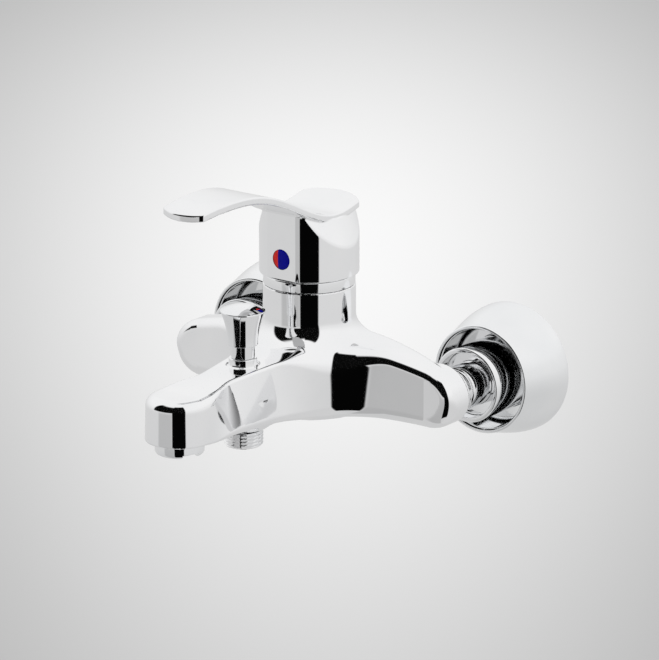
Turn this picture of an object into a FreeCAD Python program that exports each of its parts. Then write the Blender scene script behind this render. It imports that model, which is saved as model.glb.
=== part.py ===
"""Wall mounted single-lever bath and shower mixer, as separate pieces.

Frame: millimetres, +Z up, +Y into the wall.  The origin lies on the finished wall, midway between the
two wall inlets.  The mixer stands in front of the wall, at negative Y.  Heights named *_H are measured
from the mixer's own inlet axis, which the eccentric unions lift above the wall inlets.
"""
import FreeCAD, Part
import os
from math import asin, cos, radians, sin

V = FreeCAD.Vector

# ---- driving dimensions -------------------------------------------------------------------------
INLET_SPACING = 150.0        # between the centres of the two inlets
UNION_RISE = 5.0             # eccentricity of the unions, turned so that the mixer sits higher
G12_R = 10.48                # outer radius of a G 1/2 thread
G34_R = 13.22                # outer radius of a G 3/4 thread

TOWER_REACH = 82.0           # wall to the tower's axis
TOWER_R = 24.6
TOWER_TOP_H = 52.6
COLLAR_STEP = 0.3            # collar's side lies this far inside the tower's
COLLAR_HEIGHT = 6.0
DIVERTER_REACH = 139.0       # wall to the axis of the knob and the hose outlet
NOZZLE_REACH = 192.0         # wall to the aerator's axis

FLANGE_R = 35.3              # at the wall
FLANGE_RIM_R = 29.3          # at the front
FLANGE_DEPTH = 32.0
FLANGE_WALL = 2.0
NUT_WALL = 6.98              # union nut's side, outside its thread
NUT_FRONT = 45.0             # wall to the front face of the union nut
ELBOW_R = 17.2
ELBOW_BACK_INSET = 17.0      # elbow's rear face, behind the tower's axis

HANDLE_WALL = 1.65
FLAT_INSET = 2.2             # flat on the handle's front, inside its round
HANDLE_GAP = 0.4             # between the collar and the handle's skirt
SKIRT_CLEARANCE = 0.45       # radial, so that the skirt drops past the collar as the lever lifts
LEVER_TILT = 20.0            # degrees of lift
BLADE_THICKNESS = 4.0
TIP_REACH = 191.0            # wall to the middle of the lever's tip
TIP_HALF_WIDTH = 13.5

KNOB_RIM_R = 11.8
KNOB_TRAVEL = 6.8
AERATOR_R = 12.8

# ---- fits ---------------------------------------------------------------------------------------
THREAD_FIT = 0.05            # radial, between a screwed-in piece and its bore
RUNNING_FIT = 0.06           # radial, between a turning or sliding piece and its guide
SLIDE_GAP = 0.1              # between faces that slide over each other
REACH_THROUGH = 1.0          # how far a cutting tool runs past a face
SAME_PLACE = 0.01            # two heights or depths this close are one

# ---- places worked out from the driving dimensions ----------------------------------------------
SIDES = (("left", -1), ("right", 1))
INLET_X = INLET_SPACING / 2
AXIS_Z = UNION_RISE
TOWER_Y = -TOWER_REACH
DIVERTER_Y = -DIVERTER_REACH
NOZZLE_Y = -NOZZLE_REACH
TOWER_TOP = AXIS_Z + TOWER_TOP_H
COLLAR_TOP = TOWER_TOP + COLLAR_HEIGHT
COLLAR_R = TOWER_R - COLLAR_STEP
SKIRT_CAVITY_R = COLLAR_R + SKIRT_CLEARANCE
HANDLE_R = SKIRT_CAVITY_R + HANDLE_WALL
HANDLE_FLAT = HANDLE_R - FLAT_INSET          # tower's axis to the flat on the handle's front
NUT_R = G34_R + NUT_WALL
ELBOW_BACK = TOWER_REACH - ELBOW_BACK_INSET  # wall to the rear face of the elbow


# ---- building blocks ----------------------------------------------------------------------------
def rod(base, direction, radius, length):
    """Solid cylinder from base along direction."""
    return Part.makeCylinder(radius, length, V(*base), V(*direction))


def rod_z(x, y, z0, z1, radius):
    """Upright cylinder between two heights."""
    return rod((x, y, min(z0, z1)), (0, 0, 1), radius, abs(z1 - z0))


def rod_y(x, z, y0, y1, radius):
    """Cylinder square to the wall, between two distances."""
    return rod((x, min(y0, y1), z), (0, 1, 0), radius, abs(y1 - y0))


def rod_x(y, z, x0, x1, radius):
    """Cylinder along the wall, between two places."""
    return rod((min(x0, x1), y, z), (1, 0, 0), radius, abs(x1 - x0))


def ring_z(x, y, z0, z1, outer, inner):
    """Upright ring."""
    return rod_z(x, y, z0, z1, outer).cut(rod_z(x, y, z0, z1, inner))


def ring_y(x, z, y0, y1, outer, inner):
    """Ring whose axis is square to the wall."""
    return rod_y(x, z, y0, y1, outer).cut(rod_y(x, z, y0, y1, inner))


def box(x0, x1, y0, y1, z0, z1):
    """Block between two opposite corners."""
    return Part.makeBox(x1 - x0, y1 - y0, z1 - z0, V(x0, y0, z0))


def fused(first, *others):
    """One clean solid from pieces that overlap or touch."""
    return first.fuse(list(others)).removeSplitter()


def turned_z(x, y, profile):
    """Solid of revolution about an upright axis, from (radius, height) points."""
    points = [V(x + radius, y, height) for radius, height in profile]
    face = Part.Face(Part.makePolygon(points + points[:1]))
    return face.revolve(V(x, y, 0), V(0, 0, 1), 360)


def turned_y(x, z, profile):
    """Solid of revolution about an axis square to the wall, from (radius, y) points."""
    points = [V(x + radius, depth, z) for radius, depth in profile]
    face = Part.Face(Part.makePolygon(points + points[:1]))
    return face.revolve(V(x, 0, z), V(0, 1, 0), 360)


def rounded_wire(corners, radii):
    """Closed outline through corners, each rounded to its own radius."""
    edges = []
    previous_end = None
    first_start = None
    for i, corner in enumerate(corners):
        before = (corners[i - 1] - corner).normalize()
        after = (corners[(i + 1) % len(corners)] - corner).normalize()
        half_angle = before.getAngle(after) / 2
        setback = radii[i] * cos(half_angle) / sin(half_angle)
        inward = (before + after).normalize()
        start = corner + before * setback
        end = corner + after * setback
        middle = corner + inward * (radii[i] / sin(half_angle) - radii[i])
        if previous_end is not None:
            edges.append(Part.makeLine(previous_end, start))
        else:
            first_start = start
        edges.append(Part.Arc(start, middle, end).toShape())
        previous_end = end
    edges.append(Part.makeLine(previous_end, first_start))
    return Part.Wire(edges)


# ---- cartridge, from the seat upwards -----------------------------------------------------------
POCKET_DEPTH = 39.6          # tower's top to the floor of its pocket
SEAT_Z = TOWER_TOP - POCKET_DEPTH
CARTRIDGE_R = 17.4
CARTRIDGE_WALL = 2.2
CHAMBER_R = CARTRIDGE_R - CARTRIDGE_WALL
BASE_THICKNESS = 3.0
FIXED_DISC = 4.0
MOVING_DISC = 3.5
CARRIER_DISC = 2.6
FIXED_DISC_R = CHAMBER_R - 0.7
DISC_MARGIN = 3.1            # half of the moving disc's travel, and a little more
MOVING_DISC_R = FIXED_DISC_R - DISC_MARGIN
SHOULDER_Z = TOWER_TOP - 13.6    # where the cartridge nut presses
NECK_R = 13.5
NECK_TOP_Z = TOWER_TOP + 0.5
ROTOR_R = 10.8
ROTOR_FLANGE_R = CHAMBER_R - 0.4
PIVOT_Z = TOWER_TOP - 6.6    # the spindle tilts about this height
SPINDLE_ARM = 18.0           # pivot to the ball at the spindle's foot
SPINDLE_SQUARE = 8.0
SPINDLE_WAIST = 5.0
SPINDLE_NECK_R = 1.7
SPINDLE_NECK_RISE = 2.0      # the round neck clears the carrier's rim by this much
SPINDLE_TOP_Z = COLLAR_TOP + 20.0
BALL_R = 2.8
PIN_R = 1.5
SOCKET_WEB = 1.0             # carrier left under the ball's socket
SWING_GAP = 0.25             # between the spindle and the guide's ways
HEAD_SWING = 3.2             # room for the square as it tilts
KEY_HALF_WIDTH = 5.0
KEY_HALF_LENGTH = 8.0
PORT_R = 3.4
HOT_COLD_PORT = (9.0, 4.0)   # beside and behind the tower's axis
MIXED_PORT = (0.0, -10.0)    # in front of the tower's axis
MIXING_SLOT_HALF = 4.0       # slot under the moving disc that joins the ports
MIXING_SLOT_FRONT = 8.0      # disc's axis to the slot's front end
MIXING_SLOT_BACK = 5.0
SEAL_WIDTH = 1.2
SEAL_THICKNESS = 1.2
NUT_THREAD_R = CARTRIDGE_R + 1.9
NUT_HEIGHT = 9.0
NUT_HEX_HEIGHT = 2.5

BASE_TOP = SEAT_Z + BASE_THICKNESS
FIXED_TOP = BASE_TOP + FIXED_DISC
MOVING_BOTTOM = FIXED_TOP + SLIDE_GAP / 2
MOVING_TOP = MOVING_BOTTOM + MOVING_DISC
KEY_BOTTOM = MOVING_TOP + CARRIER_DISC
BALL_Z = PIVOT_Z - SPINDLE_ARM
KEY_TOP = BALL_Z + 2.0       # the socket closes a little above the ball's centre
ROTOR_BODY_BOTTOM = KEY_TOP + 2 * SLIDE_GAP
PLATE_BOTTOM = ROTOR_BODY_BOTTOM + SLIDE_GAP
DISC_TRAVEL = SPINDLE_ARM * sin(radians(LEVER_TILT))
DISC_Y = TOWER_Y + DISC_TRAVEL / 2      # the moving disc starts half its travel behind the axis
PORTS = [(-HOT_COLD_PORT[0], TOWER_Y + HOT_COLD_PORT[1]),
         (HOT_COLD_PORT[0], TOWER_Y + HOT_COLD_PORT[1]),
         (MIXED_PORT[0], TOWER_Y + MIXED_PORT[1])]


def cut_ports(shape, z0, z1, radius):
    """The same three ports through any piece below the moving disc."""
    return shape.cut([rod_z(x, y, z0, z1, radius) for x, y in PORTS])


def port_rings(z0):
    """Three rubber rings, one round each port."""
    rings = [ring_z(x, y, z0, z0 + SEAL_THICKNESS, PORT_R + SEAL_WIDTH, PORT_R) for x, y in PORTS]
    return Part.makeCompound(rings)


def cartridge_base():
    base = rod_z(0, TOWER_Y, SEAT_Z, BASE_TOP, CARTRIDGE_R)
    base = cut_ports(base, SEAT_Z, BASE_TOP, PORT_R)
    pockets = [rod_z(x, y, level, level + SEAL_THICKNESS, PORT_R + SEAL_WIDTH)
               for x, y in PORTS for level in (SEAT_Z, BASE_TOP - SEAL_THICKNESS)]
    return base.cut(pockets)


def ceramic_disc_fixed():
    disc = rod_z(0, TOWER_Y, BASE_TOP, FIXED_TOP, FIXED_DISC_R)
    return cut_ports(disc, BASE_TOP, FIXED_TOP, PORT_R)


def ceramic_disc_moving():
    mixing_depth = MOVING_DISC / 2
    mixing_slot = box(-MIXING_SLOT_HALF, MIXING_SLOT_HALF, DISC_Y - MIXING_SLOT_FRONT,
                      DISC_Y + MIXING_SLOT_BACK, MOVING_BOTTOM, MOVING_BOTTOM + mixing_depth)
    return rod_z(0, DISC_Y, MOVING_BOTTOM, MOVING_TOP, MOVING_DISC_R).cut(mixing_slot)


def disc_carrier():
    disc = rod_z(0, DISC_Y, MOVING_TOP, KEY_BOTTOM, MOVING_DISC_R)
    key = box(-KEY_HALF_WIDTH, KEY_HALF_WIDTH, DISC_Y - KEY_HALF_LENGTH, DISC_Y + KEY_HALF_LENGTH,
              KEY_BOTTOM, KEY_TOP)
    socket_floor = MOVING_TOP + SOCKET_WEB
    socket = rod_z(0, TOWER_Y, socket_floor, KEY_TOP, BALL_R + RUNNING_FIT)
    return fused(disc, key).cut(socket)


def spindle_guide():
    """Rotor: turns with the lever and carries the spindle's pivot pin."""
    stem = rod_z(0, TOWER_Y, ROTOR_BODY_BOTTOM, NECK_TOP_Z, ROTOR_R)
    flange = rod_z(0, TOWER_Y, KEY_BOTTOM + SLIDE_GAP, ROTOR_BODY_BOTTOM, ROTOR_FLANGE_R)
    slot_half = KEY_HALF_WIDTH + RUNNING_FIT
    key_way = box(-slot_half, slot_half, TOWER_Y - ROTOR_FLANGE_R, TOWER_Y + ROTOR_FLANGE_R,
                  KEY_BOTTOM, ROTOR_BODY_BOTTOM)
    waist_half = SPINDLE_WAIST / 2 + SWING_GAP
    waist_swing = DISC_TRAVEL + waist_half + 2 * SWING_GAP
    waist_way = box(-waist_half, waist_half, TOWER_Y - waist_swing, TOWER_Y + waist_half + 2 * SWING_GAP,
                    ROTOR_BODY_BOTTOM, PIVOT_Z)
    square_half = SPINDLE_SQUARE / 2 + SWING_GAP
    head_way = box(-square_half, square_half, TOWER_Y - square_half - HEAD_SWING,
                   TOWER_Y + square_half + HEAD_SWING,
                   PIVOT_Z - SPINDLE_SQUARE / 2 - HEAD_SWING / 2, NECK_TOP_Z)
    pin_hole = rod_x(TOWER_Y, PIVOT_Z, -ROTOR_R, ROTOR_R, PIN_R)
    return fused(stem, flange.cut(key_way)).cut([waist_way, head_way, pin_hole])


def spindle_pivot_pin():
    pin = rod_x(TOWER_Y, PIVOT_Z, -ROTOR_R, ROTOR_R, PIN_R)
    return pin.common(rod_z(0, TOWER_Y, PIVOT_Z - PIN_R, PIVOT_Z + PIN_R, ROTOR_R - RUNNING_FIT))


def lever_spindle():
    half = SPINDLE_SQUARE / 2
    head = box(-half, half, TOWER_Y - half, TOWER_Y + half, PIVOT_Z - half, SPINDLE_TOP_Z)
    waist = SPINDLE_WAIST / 2
    neck_top = KEY_TOP + SPINDLE_NECK_RISE
    arm = box(-waist, waist, TOWER_Y - waist, TOWER_Y + waist, neck_top, PIVOT_Z)
    neck = rod_z(0, TOWER_Y, BALL_Z, neck_top, SPINDLE_NECK_R)
    foot = Part.makeSphere(BALL_R, V(0, TOWER_Y, BALL_Z))
    pin_hole = rod_x(TOWER_Y, PIVOT_Z, -SPINDLE_SQUARE, SPINDLE_SQUARE, PIN_R + RUNNING_FIT)
    return fused(head, arm, neck, foot).cut(pin_hole)


def cartridge_housing():
    shell = rod_z(0, TOWER_Y, BASE_TOP, SHOULDER_Z, CARTRIDGE_R)
    neck = rod_z(0, TOWER_Y, SHOULDER_Z, NECK_TOP_Z, NECK_R)
    chamber = rod_z(0, TOWER_Y, BASE_TOP, PLATE_BOTTOM, CHAMBER_R)
    bore = rod_z(0, TOWER_Y, BASE_TOP, NECK_TOP_Z, ROTOR_R + RUNNING_FIT)
    return fused(shell, neck).cut([chamber, bore])


def hexagon(x, y, z0, z1, across_flats):
    """Upright hexagonal prism."""
    corner = across_flats / 2 / cos(radians(30))
    points = [V(x + corner * cos(radians(60 * i)), y + corner * sin(radians(60 * i)), z0) for i in range(7)]
    return Part.Face(Part.makePolygon(points)).extrude(V(0, 0, z1 - z0))


def cartridge_nut():
    top = SHOULDER_Z + NUT_HEIGHT
    thread = rod_z(0, TOWER_Y, SHOULDER_Z, top, NUT_THREAD_R)
    head = hexagon(0, TOWER_Y, top, top + NUT_HEX_HEIGHT, 2 * NUT_THREAD_R * cos(radians(30)))
    bore = rod_z(0, TOWER_Y, SHOULDER_Z, top + NUT_HEX_HEIGHT, NECK_R + THREAD_FIT)
    return fused(thread, head).cut(bore)


def collar_ring():
    """Trim ring between the tower and the handle, screwed into the tower's mouth."""
    edge = 0.8
    spigot_bottom = TOWER_TOP - 1.6
    bore = NECK_R + 1.0
    dish = NECK_R + 4.0
    profile = [(bore, spigot_bottom), (NUT_THREAD_R, spigot_bottom), (NUT_THREAD_R, TOWER_TOP),
               (COLLAR_R, TOWER_TOP), (COLLAR_R, COLLAR_TOP - edge), (COLLAR_R - edge, COLLAR_TOP),
               (dish, COLLAR_TOP), (bore, TOWER_TOP + COLLAR_HEIGHT / 2)]
    return turned_z(0, TOWER_Y, profile)


# ---- handle -------------------------------------------------------------------------------------
HANDLE_BOTTOM = COLLAR_TOP + HANDLE_GAP
SKIRT_CAVITY_TOP = HANDLE_BOTTOM + 10.0
CROWN_CAVITY_R = 19.5
CROWN_CAVITY_TOP = HANDLE_BOTTOM + 22.0
FRONT_WALL = 2.2
HANDLE_TOP = HANDLE_BOTTOM + 59.0        # above every part of the handle, for the cutting tools
BOSS_BOTTOM = HANDLE_BOTTOM + 6.0
DIP_RISE = 33.9              # handle's foot to the lowest line of the blade, over the tower
BLADE_TOP = ((0.0, 38.2), (0.128, 34.7), (0.209, DIP_RISE), (0.356, 39.5), (0.525, 50.4),
             (0.665, 55.8), (0.798, 57.0), (0.901, 56.2), (1.0, 54.0))
BLADE_BACK_Y = TOWER_Y + HANDLE_R
BLADE_FRONT_Y = -TIP_REACH - 0.5         # the blade's line runs a little past its tip
BLADE_BOW = 4.0              # how far the tip's edge bows forward
SHOULDER_REACH = TOWER_REACH + 14.0      # wall to where the blade meets the handle's body
SHOULDER_LENGTH = 6.0
FACET_TOP_HALF_WIDTH = 19.0
FACET_SLOPE = 0.316          # outward per unit of drop
INDEX_R = 5.5
INDEX_DEPTH = 1.2
INDEX_Z = HANDLE_BOTTOM + 11.0
INDEX_PAD_MARGIN = 1.0       # pad inside the handle, round the index
INDEX_SPLIT_X = -2.0
SCREW_R = 2.5
SCREW_LENGTH = 12.0
KEY_DEPTH = 3.0
KEY_ACROSS_FLATS = 2.5


def wave_point(share, rise):
    """Point over the tower's centre line, a share of the way from the blade's back to its front."""
    return V(0, BLADE_BACK_Y + share * (BLADE_FRONT_Y - BLADE_BACK_Y), HANDLE_BOTTOM + rise)


def wave_edge(drop):
    """The blade's top line, lowered by drop."""
    curve = Part.BSplineCurve()
    curve.interpolate([wave_point(share, rise - drop) for share, rise in BLADE_TOP])
    return curve.toShape()


def wave_slab(half_width):
    """Everything between the blade's top and underside, across the handle's full width."""
    top = wave_edge(0)
    under = wave_edge(BLADE_THICKNESS)
    side = Part.makeRuledSurface(top, under)
    slab = side.extrude(V(2 * half_width, 0, 0))
    slab.translate(V(-half_width, 0, 0))
    return slab


def blade_outline(z0, z1):
    """Plan of the blade: narrow bowed tip, widening towards the handle's body."""
    shoulder_y = -SHOULDER_REACH
    tip_side = -TIP_REACH + BLADE_BOW
    left_tip = V(-TIP_HALF_WIDTH, tip_side, z0)
    right_tip = V(TIP_HALF_WIDTH, tip_side, z0)
    half = HANDLE_R
    full_y = shoulder_y + SHOULDER_LENGTH
    left_side = [V(-FACET_TOP_HALF_WIDTH, shoulder_y, z0), V(-half, full_y, z0),
                 V(-half, BLADE_BACK_Y, z0)]
    right_side = [V(half, BLADE_BACK_Y, z0), V(half, full_y, z0),
                  V(FACET_TOP_HALF_WIDTH, shoulder_y, z0)]
    edges = [Part.Arc(right_tip, V(0, -TIP_REACH, z0), left_tip).toShape()]
    chain = [left_tip] + left_side + right_side + [right_tip]
    edges += [Part.makeLine(a, b) for a, b in zip(chain, chain[1:])]
    return Part.Face(Part.Wire(edges)).extrude(V(0, 0, z1 - z0))


def facet_wedge(side):
    """What the sloping facet beside the blade takes off the handle's body."""
    low_z = HANDLE_BOTTOM
    facet_z = HANDLE_BOTTOM + DIP_RISE
    reach = 2 * HANDLE_R
    x_top = side * FACET_TOP_HALF_WIDTH
    x_low = side * (FACET_TOP_HALF_WIDTH + FACET_SLOPE * (facet_z - low_z))
    y0 = TOWER_Y - HANDLE_R - REACH_THROUGH
    corners = [V(x_low, y0, low_z), V(x_top, y0, facet_z), V(x_top, y0, HANDLE_TOP),
               V(side * reach, y0, HANDLE_TOP), V(side * reach, y0, low_z), V(x_low, y0, low_z)]
    return Part.Face(Part.makePolygon(corners)).extrude(V(0, 2 * (HANDLE_R + REACH_THROUGH), 0))


def below_wave(half_width, floor_z):
    """Everything under the blade's top line, down to floor_z."""
    back_top = wave_point(*BLADE_TOP[0])
    front_top = wave_point(*BLADE_TOP[-1])
    back = V(0, back_top.y, floor_z)
    front = V(0, front_top.y, floor_z)
    edges = [wave_edge(0), Part.makeLine(front_top, front), Part.makeLine(front, back),
             Part.makeLine(back, back_top)]
    solid = Part.Face(Part.Wire(edges)).extrude(V(2 * half_width, 0, 0))
    solid.translate(V(-half_width, 0, 0))
    return solid


def lever_handle():
    """Wavy blade and the body under it, hollow over the cartridge, with the spindle's boss inside."""
    front_y = TOWER_Y - HANDLE_FLAT
    full_round = rod_z(0, TOWER_Y, HANDLE_BOTTOM, HANDLE_TOP, HANDLE_R)
    flat_cut = box(-HANDLE_R, HANDLE_R, TOWER_Y - HANDLE_R, front_y, HANDLE_BOTTOM, HANDLE_TOP)
    body = full_round.cut(flat_cut).common(below_wave(2 * HANDLE_R, HANDLE_BOTTOM - REACH_THROUGH))
    ahead = box(-HANDLE_R, HANDLE_R, -TIP_REACH - REACH_THROUGH, TOWER_Y, HANDLE_BOTTOM, HANDLE_TOP)
    blade = wave_slab(2 * HANDLE_R).common(blade_outline(HANDLE_BOTTOM, HANDLE_TOP))
    blade = blade.common(fused(full_round, ahead))
    handle = fused(body, blade).cut([facet_wedge(side) for _, side in SIDES])

    skirt = rod_z(0, TOWER_Y, HANDLE_BOTTOM, SKIRT_CAVITY_TOP, SKIRT_CAVITY_R)
    skirt = skirt.cut(box(-HANDLE_R, HANDLE_R, TOWER_Y - HANDLE_R, front_y + FRONT_WALL,
                          HANDLE_BOTTOM, SKIRT_CAVITY_TOP))
    crown = rod_z(0, TOWER_Y, SKIRT_CAVITY_TOP, CROWN_CAVITY_TOP, CROWN_CAVITY_R)
    handle = handle.cut(fused(skirt, crown))

    pad_half = INDEX_R + INDEX_PAD_MARGIN
    pad = box(-pad_half, pad_half, front_y + FRONT_WALL / 2, TOWER_Y - SPINDLE_SQUARE + REACH_THROUGH,
              INDEX_Z - pad_half, CROWN_CAVITY_TOP)
    boss = rod_z(0, TOWER_Y, BOSS_BOTTOM, CROWN_CAVITY_TOP, SPINDLE_SQUARE)
    half = SPINDLE_SQUARE / 2 + THREAD_FIT
    socket = box(-half, half, TOWER_Y - half, TOWER_Y + half, HANDLE_BOTTOM, SPINDLE_TOP_Z + SLIDE_GAP)
    screw_way = rod_y(0, INDEX_Z, front_y - REACH_THROUGH, TOWER_Y, SCREW_R + THREAD_FIT)
    index_seat = rod_y(0, INDEX_Z, front_y - REACH_THROUGH, front_y + INDEX_DEPTH, INDEX_R + THREAD_FIT)
    return fused(handle, pad, boss).cut([socket, screw_way, index_seat])


def handle_set_screw():
    tip_y = TOWER_Y - SPINDLE_SQUARE / 2
    screw = rod_y(0, INDEX_Z, tip_y - SCREW_LENGTH, tip_y, SCREW_R)
    key = hexagon(0, 0, 0, KEY_DEPTH, KEY_ACROSS_FLATS)
    key.rotate(V(0, 0, 0), V(1, 0, 0), -90)
    key.translate(V(0, tip_y - SCREW_LENGTH, INDEX_Z))
    return screw.cut(key)


def index_disc(x0, x1):
    """Coloured index in the handle's front, between two vertical lines."""
    front_y = TOWER_Y - HANDLE_FLAT
    disc = rod_y(0, INDEX_Z, front_y, front_y + INDEX_DEPTH, INDEX_R)
    part = box(x0, x1, front_y - REACH_THROUGH, front_y + 2 * INDEX_DEPTH,
               INDEX_Z - INDEX_R, INDEX_Z + INDEX_R)
    return disc.common(part)


def hot_index():
    return index_disc(-INDEX_R, INDEX_SPLIT_X)


def cold_index():
    return index_disc(INDEX_SPLIT_X, INDEX_R)


# ---- diverter -----------------------------------------------------------------------------------
SPOUT_TOP_H = 20.6           # at the diverter
CHAMBER_FLOOR = AXIS_Z - 6.0
DIVERTER_CHAMBER_R = 9.0
UPPER_SEAT = AXIS_Z + 6.0
UPPER_SEAT_TOP = AXIS_Z + 8.0
SEAT_HOLE_R = 6.0
BUSH_BOTTOM = AXIS_Z + 15.5
BUSH_COLLAR_R = 7.4
BUSH_COLLAR_HEIGHT = 4.4
BUSH_TOP = AXIS_Z + SPOUT_TOP_H + BUSH_COLLAR_HEIGHT
STEM_R = 3.0
VALVE_R = 7.5
VALVE_BOTTOM = CHAMBER_FLOOR + SLIDE_GAP
VALVE_HEIGHT = UPPER_SEAT - CHAMBER_FLOOR - KNOB_TRAVEL - 2 * SLIDE_GAP
WASHER_HEIGHT = 1.5
WASHER_WIDTH = 2.5
CLIP_HEIGHT = 0.8
CLIP_R = 5.0
CLIP_BOTTOM = UPPER_SEAT_TOP + 0.6
SPRING_POCKET_R = 5.4
SPRING_POCKET_TOP = AXIS_Z + 22.0
SPRING_R = 4.2
SPRING_WIRE_R = 0.4
SPRING_TURNS = 6
GLAND_HEIGHT = 1.4
GLAND_BOTTOM = SPRING_POCKET_TOP + 0.8
GLAND_R = 4.6
KNOB_BOTTOM = BUSH_TOP + SLIDE_GAP
KNOB_SLEEVE_R = 6.2
KNOB_SLEEVE_HEIGHT = 7.0
KNOB_WAIST_R = 8.0
KNOB_HEIGHT = 25.3           # sleeve's foot to rim
KNOB_DOME = 3.0
KNOB_RIM_EDGE = 0.8
KNOB_FLARE_H = 0.55          # share of the flare's height at its middle point
KNOB_FLARE = 0.9             # how far the flare has opened there
STEM_TOP = KNOB_BOTTOM + 15.2           # inside the knob
STEM_BOTTOM = VALVE_BOTTOM + 0.5


def diverter_bush():
    thread = rod_z(0, DIVERTER_Y, BUSH_BOTTOM, AXIS_Z + SPOUT_TOP_H, DIVERTER_CHAMBER_R - THREAD_FIT)
    collar = rod_z(0, DIVERTER_Y, AXIS_Z + SPOUT_TOP_H, BUSH_TOP, BUSH_COLLAR_R)
    pocket = rod_z(0, DIVERTER_Y, BUSH_BOTTOM, SPRING_POCKET_TOP, SPRING_POCKET_R)
    groove = rod_z(0, DIVERTER_Y, GLAND_BOTTOM, GLAND_BOTTOM + GLAND_HEIGHT, GLAND_R)
    bore = rod_z(0, DIVERTER_Y, BUSH_BOTTOM, BUSH_TOP, STEM_R + RUNNING_FIT)
    return fused(thread, collar).cut([pocket, groove, bore])


def diverter_gland_ring():
    return ring_z(0, DIVERTER_Y, GLAND_BOTTOM, GLAND_BOTTOM + GLAND_HEIGHT, GLAND_R, STEM_R + RUNNING_FIT)


def diverter_stem():
    return rod_z(0, DIVERTER_Y, STEM_BOTTOM, STEM_TOP, STEM_R)


def stem_clip():
    return ring_z(0, DIVERTER_Y, CLIP_BOTTOM, CLIP_BOTTOM + CLIP_HEIGHT, CLIP_R, STEM_R)


def washers():
    """Rubber rings in the two faces of the valve."""
    levels = (VALVE_BOTTOM, VALVE_BOTTOM + VALVE_HEIGHT - WASHER_HEIGHT)
    return [ring_z(0, DIVERTER_Y, level, level + WASHER_HEIGHT, VALVE_R, VALVE_R - WASHER_WIDTH)
            for level in levels]


def diverter_valve():
    body = ring_z(0, DIVERTER_Y, VALVE_BOTTOM, VALVE_BOTTOM + VALVE_HEIGHT, VALVE_R, STEM_R)
    return body.cut(washers())


def diverter_washers():
    return Part.makeCompound(washers())


def diverter_spring():
    """Return spring between the stem's clip and the bush."""
    bottom = CLIP_BOTTOM + CLIP_HEIGHT + SPRING_WIRE_R
    height = SPRING_POCKET_TOP - SPRING_WIRE_R - bottom
    helix = Part.makeLongHelix(height / SPRING_TURNS, height, SPRING_R)
    wire_section = Part.Wire(Part.makeCircle(SPRING_WIRE_R, V(SPRING_R, 0, 0), V(0, 1, 0)))
    spring = Part.Wire(helix).makePipeShell([wire_section], True, True)
    spring.translate(V(0, DIVERTER_Y, bottom))
    return Part.Solid(spring) if spring.ShapeType == "Shell" else spring


def diverter_knob():
    sleeve_top = KNOB_BOTTOM + KNOB_SLEEVE_HEIGHT
    rim = KNOB_BOTTOM + KNOB_HEIGHT
    waist = V(KNOB_WAIST_R, DIVERTER_Y, sleeve_top)
    flare_mid = V(KNOB_WAIST_R + KNOB_FLARE, DIVERTER_Y, sleeve_top + KNOB_FLARE_H * (rim - sleeve_top))
    rim_low = V(KNOB_RIM_R, DIVERTER_Y, rim - KNOB_RIM_EDGE)
    rim_high = V(KNOB_RIM_R, DIVERTER_Y, rim)
    apex = V(0, DIVERTER_Y, rim + KNOB_DOME)
    dome_radius = (KNOB_RIM_R ** 2 + KNOB_DOME ** 2) / (2 * KNOB_DOME)
    half_way = asin(KNOB_RIM_R / dome_radius) / 2
    dome_mid = V(dome_radius * sin(half_way), DIVERTER_Y, apex.z - dome_radius * (1 - cos(half_way)))
    foot = V(0, DIVERTER_Y, KNOB_BOTTOM)
    sleeve_foot = V(KNOB_SLEEVE_R, DIVERTER_Y, KNOB_BOTTOM)
    sleeve_head = V(KNOB_SLEEVE_R, DIVERTER_Y, sleeve_top)
    edges = [Part.makeLine(foot, sleeve_foot), Part.makeLine(sleeve_foot, sleeve_head),
             Part.makeLine(sleeve_head, waist), Part.Arc(waist, flare_mid, rim_low).toShape(),
             Part.makeLine(rim_low, rim_high), Part.Arc(rim_high, dome_mid, apex).toShape(),
             Part.makeLine(apex, foot)]
    knob = Part.Face(Part.Wire(edges)).revolve(V(0, DIVERTER_Y, 0), V(0, 0, 1), 360)
    stem_hole = rod_z(0, DIVERTER_Y, KNOB_BOTTOM, STEM_TOP, STEM_R)
    return knob.cut(stem_hole)


# ---- outlets ------------------------------------------------------------------------------------
OUTLET_BOTTOM = AXIS_Z - 22.5
OUTLET_THREAD_TOP = AXIS_Z - 12.3
OUTLET_BORE_R = 5.5
OUTLET_SPIGOT_R = 8.4
OUTLET_RELIEF_R = 9.6
OUTLET_RELIEF = 3.0          # height of the thread relief, which keeps the hose's nut off the spout
OUTLET_SEAL_R = 10.0
OUTLET_SEAL_HEIGHT = 1.0
AERATOR_BOTTOM = AXIS_Z - 13.0
AERATOR_SHOULDER = AXIS_Z - 5.5
AERATOR_THREAD_R = AERATOR_R - 1.2
AERATOR_THREAD_TOP = AXIS_Z + 1.0
AERATOR_WALL = 1.6
AERATOR_GASKET_HEIGHT = 1.6
AERATOR_GASKET_LIP = 1.2     # how far the gasket reaches in over the insert
AERATOR_LIP = 1.0
JET_R = 0.8
JET_RINGS = ((6, 3.0), (12, 5.9))       # water holes in each ring, and the ring's radius
SHOULDER_GAP = 0.3           # round the aerator's and the nipple's heads


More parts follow.
